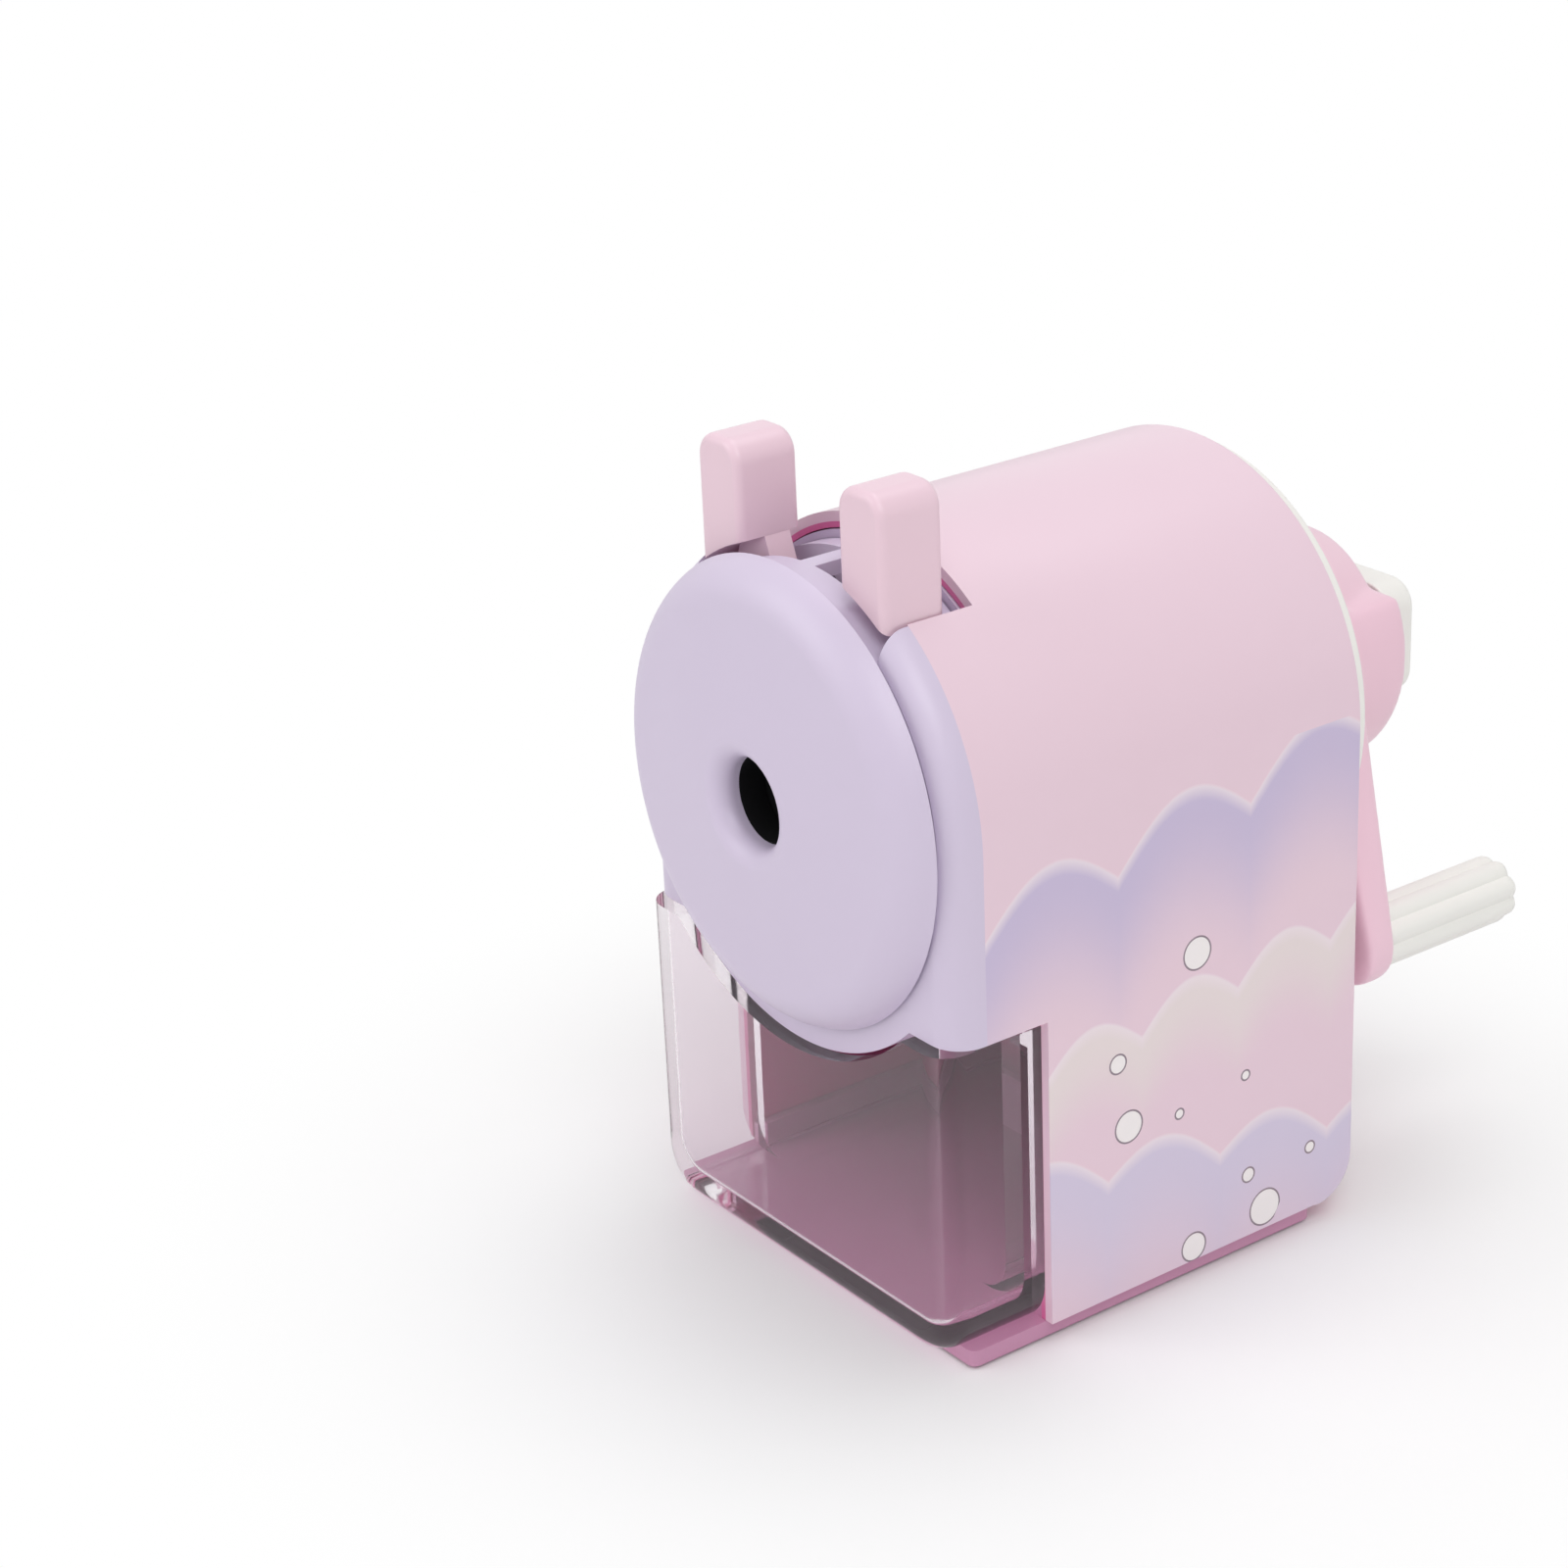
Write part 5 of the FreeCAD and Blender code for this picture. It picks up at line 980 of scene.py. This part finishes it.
@dataclass(frozen=True)
class FeedCarriage:
    """What slides out with the pencil: the drum with its round face, and the springs that act on it.

    A spring is its coil's radius, its wire's thickness, its turns, and its ends or its length.
    """

    hole: float = 6.1
    lip: float = 2.9
    lip_steps: int = 10
    edge: float = -37.4
    dome: float = 3.2
    radius: float = 32.5
    crown: tuple[float, ...] = (12.0, 15.0, 18.0, 21.0, 24.0)
    rim_round: float = 7.0
    rim_turn: Pair = (-81.0, -18.0)
    rim_steps: int = 12
    face_back: float = -33.8
    # The next four size a near-black sleeve of painted shade inside the pencil hole.
    sleeve_front: float = -36.6
    sleeve_wall: float = 0.15
    sleeve_seat: float = 0.02
    sleeve_sides: int = 96
    skin: float = 3.0
    tube_wall: float = 2.2
    tube_end: float = -32.7
    drum: float = 30.5
    drum_wall: float = 2.0
    drum_rear: float = -21.5
    drum_edge: float = 0.25
    slot: Triple = (1.5, 20.0, -28.4)
    pivot: Pair = (10.0, 91.0)
    pivot_boss: float = 3.5
    boss_rear: float = -28.0
    pad_side: Pair = (10.6, 19.6)
    pad_depth: Pair = (-31.4, -21.6)
    pad_top: float = 118.0
    pad_seat: float = 32.95
    pad_skin: float = 0.04
    pad_crown: float = 3.3
    pad_round: float = 1.25
    pad_edge: float = 0.3
    feed_spring: tuple[float, float, int, float, float] = (2.7, 0.6, 9, -10.0, 30.4)
    feed_keep: float = 0.208
    lever_spring: tuple[float, float, int, float] = (1.2, 0.4, 5, 16.33)
    lever_spring_place: Triple = (0.0, -25.5, 100.4)
    lever_keep: float = 0.69

    def build(self) -> None:
        """Model and dress every piece."""
        self.face().dress(LAVENDER, Body.CARRIAGE, "lavender", "face_disc")
        # A near-black sleeve of painted shade inside the pencil hole.
        self.shade_sleeve().dress(RUBBER, Body.CARRIAGE, "black")
        self.thumb_pad("left_thumb_pad", -1).dress(LEVER_PINK, Body.LEFT_LEVER, "lever_pink")
        self.thumb_pad("right_thumb_pad", 1).dress(LEVER_PINK, Body.RIGHT_LEVER, "lever_pink")
        self.feed_springs()
        self.pinch_spring()

    def thumb_pad(self, name: str, side: int) -> Piece:
        """Skin of a lever's thumb pad: crowned top, soft edges, and a lower side that clears the drum."""
        near, far = (limit + way * self.pad_skin for limit, way in zip(self.pad_side, MIRRORED))
        front, rear = (limit + way * self.pad_skin for limit, way in zip(self.pad_depth, MIRRORED))
        top = self.pad_top + self.pad_skin
        x = sorted((side * near, side * far))
        pad = Piece.block(name, (x[0], front, AXIS), (x[1], rear, top))
        pad.bevel(lambda at: lies(at, "z", top) and runs(at, "y"), self.pad_crown, segments=10)
        for end in (front, rear):
            pad.bevel(lambda at: lies(at, "y", end), self.pad_round)
        pad.cut(Piece.rod("pad_seat", self.pad_seat, (front - LAP, rear + LAP)))
        return pad.soften(self.pad_edge)

    def face(self) -> Piece:
        """Domed face with a rolled pencil hole, and the drum behind it with the levers' slots."""
        tube = self.hole + self.tube_wall
        inner = self.drum - self.drum_wall
        mouth = self.hole + self.lip
        rolled = arc((mouth, self.dome_at(mouth) + self.lip), self.lip, 180.0, 270.0, self.lip_steps)
        crown = [(r, self.dome_at(r)) for r in self.crown]
        turn = self.radius - self.rim_round
        rim = arc((turn, self.dome_at(turn) + self.rim_round), self.rim_round, *self.rim_turn, self.rim_steps)
        inside = [(r, self.dome_at(r) + self.skin) for r in (inner, *reversed(self.crown), tube)]
        profile = [(self.hole, self.tube_end), *rolled, *crown, *rim, (self.drum, self.face_back),
                   (self.drum, self.drum_rear), (inner, self.drum_rear), *inside, (tube, self.tube_end)]
        face = Piece.lathe("feed_face", profile)
        near, far, start = self.slot
        hub, level = self.pivot
        foot = self.dome_at(math.hypot(hub, level - AXIS)) + self.skin - LAP
        for side in MIRRORED:
            x = sorted((side * near, side * far))
            slot = Piece.block("lever_slot", (x[0], start, level),
                               (x[1], self.drum_rear + LAP, AXIS + 2 * self.drum))
            face.cut(slot)
            face.join(Piece.rod("pivot_boss", self.pivot_boss, (foot, self.boss_rear), (side * hub, level),
                                ROUND_BOSS))
        return face.soften(self.drum_edge, segments=2)

    def dome_at(self, radius: float) -> float:
        """Y of the domed face at a radius."""
        ball = (self.radius ** 2 + self.dome ** 2) / (2 * self.dome)
        return self.edge - self.dome + ball - math.sqrt(ball ** 2 - radius ** 2)

    def shade_sleeve(self) -> Piece:
        """Thin near-black sleeve over the pencil hole's wall behind its rolled lip: painted shade, a dark sheet
        where the deep hole falls into shade.
        """
        front, end = self.sleeve_front, self.tube_end
        bore = self.hole - self.sleeve_wall
        out = self.hole + self.sleeve_seat
        profile = [(bore, front), (out, front), (out, end), (bore, end)]
        return Piece.lathe("hole_shade_sleeve", profile, self.sleeve_sides).smooth()

    def feed_springs(self) -> None:
        """Two springs round the guide rods, wound at one length; the real ones are squeezed as the carriage comes
        out.
        """
        radius, wire, turns, front, rear = self.feed_spring
        reach = GUIDE[0]
        first = Piece.coil("left_spring", radius, wire, turns, rear - front)
        first.shift((-reach, front, GUIDE[1]))
        second = first.twin("right_spring", (2 * reach, 0.0, 0.0))
        for piece, side, x in ((first, "left", -reach), (second, "right", reach)):
            piece.dress(SPRING_STEEL, Body.CASE, "steel", f"{side}_feed_spring")
            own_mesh(piece.holder)

    def pinch_spring(self) -> None:
        """Spring between the levers, wound at one length; the real one is squeezed as they are pinched."""
        radius, wire, turns, length = self.lever_spring
        spring = Piece.coil("pinch_spring", radius, wire, turns, length)
        spring.shift((0.0, -length / 2, 0.0)).select(Element.VERT)
        spring.edit(bpy.ops.transform.rotate, value=math.pi / 2, orient_axis="Z", center_override=(0, 0, 0))
        spring.shift(self.lever_spring_place)
        spring.dress(SPRING_STEEL, Body.CARRIAGE, "steel", "lever_spring")
        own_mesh(spring.holder)


@dataclass(frozen=True)
class ChipDrawer:
    """Clear drawer: broad front that fills the side windows, narrower tray behind it."""

    half: float = 33.3
    depth: Pair = (-35.0, 27.0)
    step: float = -18.6
    height: Pair = (1.7, 47.4)
    floor: float = 3.2
    tray_half: float = 29.5
    tray_top: float = 43.2
    wall: float = 2.2
    front_wall: float = 2.6
    corner: float = 7.5
    front_round: float = 4.0
    inner_round: float = 1.6
    edge: float = 0.35
    mouth: float = 36.1

    def build(self) -> None:
        """Model and dress the drawer."""
        self.tray().dress(CLEAR, Body.DRAWER, "clear", "drawer")

    def tray(self) -> Piece:
        """Drawer with rounded front edges and lower corners, hollowed to an even wall."""
        high = self.height[1]
        front, rear = self.depth
        tray = self.tub("chip_drawer", self.half, (front, self.step), self.height, self.corner,
                        self.front_round)
        back = Piece.block("drawer_rear", (-self.tray_half, self.step - self.wall, self.floor),
                           (self.tray_half, rear, self.tray_top))
        tray.join(back)
        deck = self.floor + self.wall
        corner = self.corner - self.wall
        inner = (front + self.front_wall, self.step - self.wall)
        hollow = self.tub("drawer_hollow", self.half - self.wall, inner, (deck, high + PAST), corner,
                          self.inner_round)
        side = self.tray_half - self.wall
        trough = Piece.block("drawer_trough", (-side, inner[1] - LAP, deck),
                             (side, rear - self.wall, high + PAST))
        trough.bevel(lambda at: lies(at, "z", deck) and runs(at, "y"), corner, segments=8)
        mouth = Piece.rod("drawer_mouth", self.mouth, (front - PAST, rear + PAST))
        under = Piece.block("drawer_under", (-2 * self.half, inner[0], -PAST),
                            (2 * self.half, rear + LAP, self.floor))
        return tray.cut(hollow, trough, mouth, under).soften(self.edge)

    @staticmethod
    def tub(name: str, half: float, depth: Pair, height: Pair, corner: float, rounding: float) -> Piece:
        """Block whose lower corners and front edges are rounded."""
        low, high = height
        front, rear = depth
        tub = Piece.block(name, (-half, front, low), (half, rear, high))
        tub.bevel(lambda at: lies(at, "z", low) and runs(at, "y"), corner, segments=12)
        return tub.bevel(lambda at: lies(at, "y", front) and min(v.z for v in at) < high - NEAR, rounding)


@dataclass(frozen=True)
class Crank:
    """What the hand turns: the moulded crank with its boss and arm, the grip and the point adjuster.

    The grip's ends are shares of its width, with their distance from its front or its rear.
    """

    flange: Triple = (27.5, 39.7, 42.0)
    boss: Pair = (23.0, 14.4)
    boss_lap: float = 0.5
    boss_rear: float = 60.6
    cheek: Pair = (21.5, 19.8)
    cheek_top: float = 82.3
    arm_hub: float = 20.5
    arm_end: float = 6.0
    arm_front: float = 40.3
    arm_rear: Pair = (50.0, 45.0)
    handle: Pair = (27.828, 37.882)
    inset: float = 0.3
    voxel: float = 0.5
    melt: int = 30
    melt_share: float = 0.5
    nut_recess: Pair = (6.6, 54.3)
    shaft: float = 4.0
    pin: float = 2.0
    grip: tuple[float, float, float, float] = (4.9, 4.2, 45.4, 70.8)
    grip_front: tuple[Pair, ...] = ((0.94, 0.0), (0.982, 0.18), (1.0, 0.6))
    grip_rear: tuple[Pair, ...] = ((1.0, -1.6), (0.985, -0.9), (0.93, -0.35), (0.8, 0.0))
    ribs: int = 8
    rib_steps: int = 8
    knob_half: Pair = (14.6, 8.6)
    knob_depth: Pair = (61.2, 66.8)
    knob_corner: float = 4.0
    knob_round: float = 1.4
    knob_edge: float = 0.3
    knob_stem: Pair = (5.0, 57.8)

    def build(self) -> None:
        """Model and dress every piece."""
        self.moulding().dress(CRANK_PINK, Body.CRANK, "crank_pink", "crank_arm")
        self.grip_piece().dress(WHITE, Body.HANDLE, "white", "handle_grip")
        self.knob().dress(WHITE, Body.ADJUSTER, "white", "point_adjuster_knob")

    def moulding(self) -> Piece:
        """Flange, tapering boss, broad lower part and arm, run into each other as one soft moulding."""
        radius, front, back = self.flange
        crank = Piece.rod("crank_moulding", radius, (front, back))
        boss = Piece.cone("crank_boss", self.boss, (back - self.boss_lap, self.boss_rear))
        cheek = Piece.cone("crank_cheek", self.cheek, (front + self.inset, self.boss_rear - self.inset))
        upper = Piece.block("cheek_cut", (-2 * radius, front - LAP, self.cheek_top),
                            (2 * radius, self.boss_rear + LAP, AXIS + 2 * radius))
        crank.gather(boss, cheek.cut(upper), self.arm())
        crank.apply("REMESH", mode="VOXEL", voxel_size=self.voxel * MM)
        crank.apply("SMOOTH", factor=self.melt_share, iterations=self.melt)
        recess, seat = self.nut_recess
        nut = Piece.rod("nut_recess", recess, (seat, self.boss_rear + LAP), sides=ROUND_BORE)
        bore = Piece.rod("crank_bore", self.shaft, (front - LAP, self.boss_rear), sides=ROUND_BOSS)
        pin = Piece.rod("pin_bore", self.pin, (front, self.arm_rear[0]), self.handle, ROUND_PIN)
        return crank.cut(nut, bore, pin).smooth(LUMPY)

    def arm(self) -> Piece:
        """Tapering arm, thick at the crank axis and thin at the handle: the hull of a hub and an end."""
        hub, end = self.arm_rear
        arm = Piece.rod("crank_arm_blank", self.arm_hub, (self.arm_front, hub))
        tip = Piece.rod("arm_end", self.arm_end, (self.arm_front, end), self.handle, ROUND_BORE)
        arm.join(tip)
        return arm.select(Element.VERT).edit(bpy.ops.mesh.convex_hull).tidy()

    def grip_piece(self) -> Piece:
        """Ribbed grip with a rounded end."""
        crest, valley, front, rear = self.grip
        sides = self.rib_steps * self.ribs
        grip = Piece.ring("grip_moulding", crest, front, self.handle, sides, "NOTHING")
        centre = (self.handle[0], front, self.handle[1])
        for step in range(self.rib_steps):
            lobe = abs(math.sin(math.pi * step / self.rib_steps))
            grip.select(Element.VERT, lambda at: self.spoke(at[0], sides) % self.rib_steps == step)
            grip.widen((valley + (crest - valley) * lobe) / crest, centre)
        profile = [(share, front + y) for share, y in self.grip_front]
        profile += [(share, rear + y) for share, y in self.grip_rear]
        grip.select(Element.EDGE).widen(profile[0][0], centre)
        return grip.draw(profile, self.handle).cap().smooth(LUMPY)

    def spoke(self, corner: Vector, sides: int) -> int:
        """Number of a ring's corner, counted round the grip."""
        angle = math.atan2(corner.z - self.handle[1], corner.x - self.handle[0])
        return round(angle / (2 * math.pi) * sides) % sides

    def knob(self) -> Piece:
        """Oblong knob with soft corners, on the stem that reaches into the boss."""
        (x, z), (front, rear) = self.knob_half, self.knob_depth
        knob = Piece.block("adjuster_cap", (-x, front, AXIS - z), (x, rear, AXIS + z))
        knob.bevel(lambda at: runs(at, "y"), self.knob_corner, segments=10)
        knob.bevel(lambda at: lies(at, "y", rear), self.knob_round)
        stem, start = self.knob_stem
        knob.join(Piece.rod("knob_stem", stem, (start, front + LAP), sides=ROUND_BORE))
        return knob.soften(self.knob_edge)


class Sharpener:
    """The whole object: what the CAD frame shows, in its finishes."""

    def __init__(self, frame: dict) -> None:
        """Keep the frame's nodes."""
        self.nodes = frame["nodes"]

    def build(self) -> None:
        """Give every CAD node its finish, then model the pieces that stand for nodes."""
        self.dress_nodes()
        for assembly in (Casing(), FeedCarriage(), ChipDrawer(), Crank()):
            assembly.build()

    def dress_nodes(self) -> None:
        """Give every CAD node its finish."""
        for name, finish in NODE_FINISH.items():
            data = self.nodes[name].data
            data.materials.clear()
            data.materials.append(finish.material())
            LOG.info("%s in %s", name, finish.name)


def main() -> None:
    """Build the scene."""
    logging.basicConfig(level=logging.INFO)
    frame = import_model()
    PhotoCamera().build()
    Studio().build()
    Sharpener(frame).build()


if __name__ == "__main__":
    main()
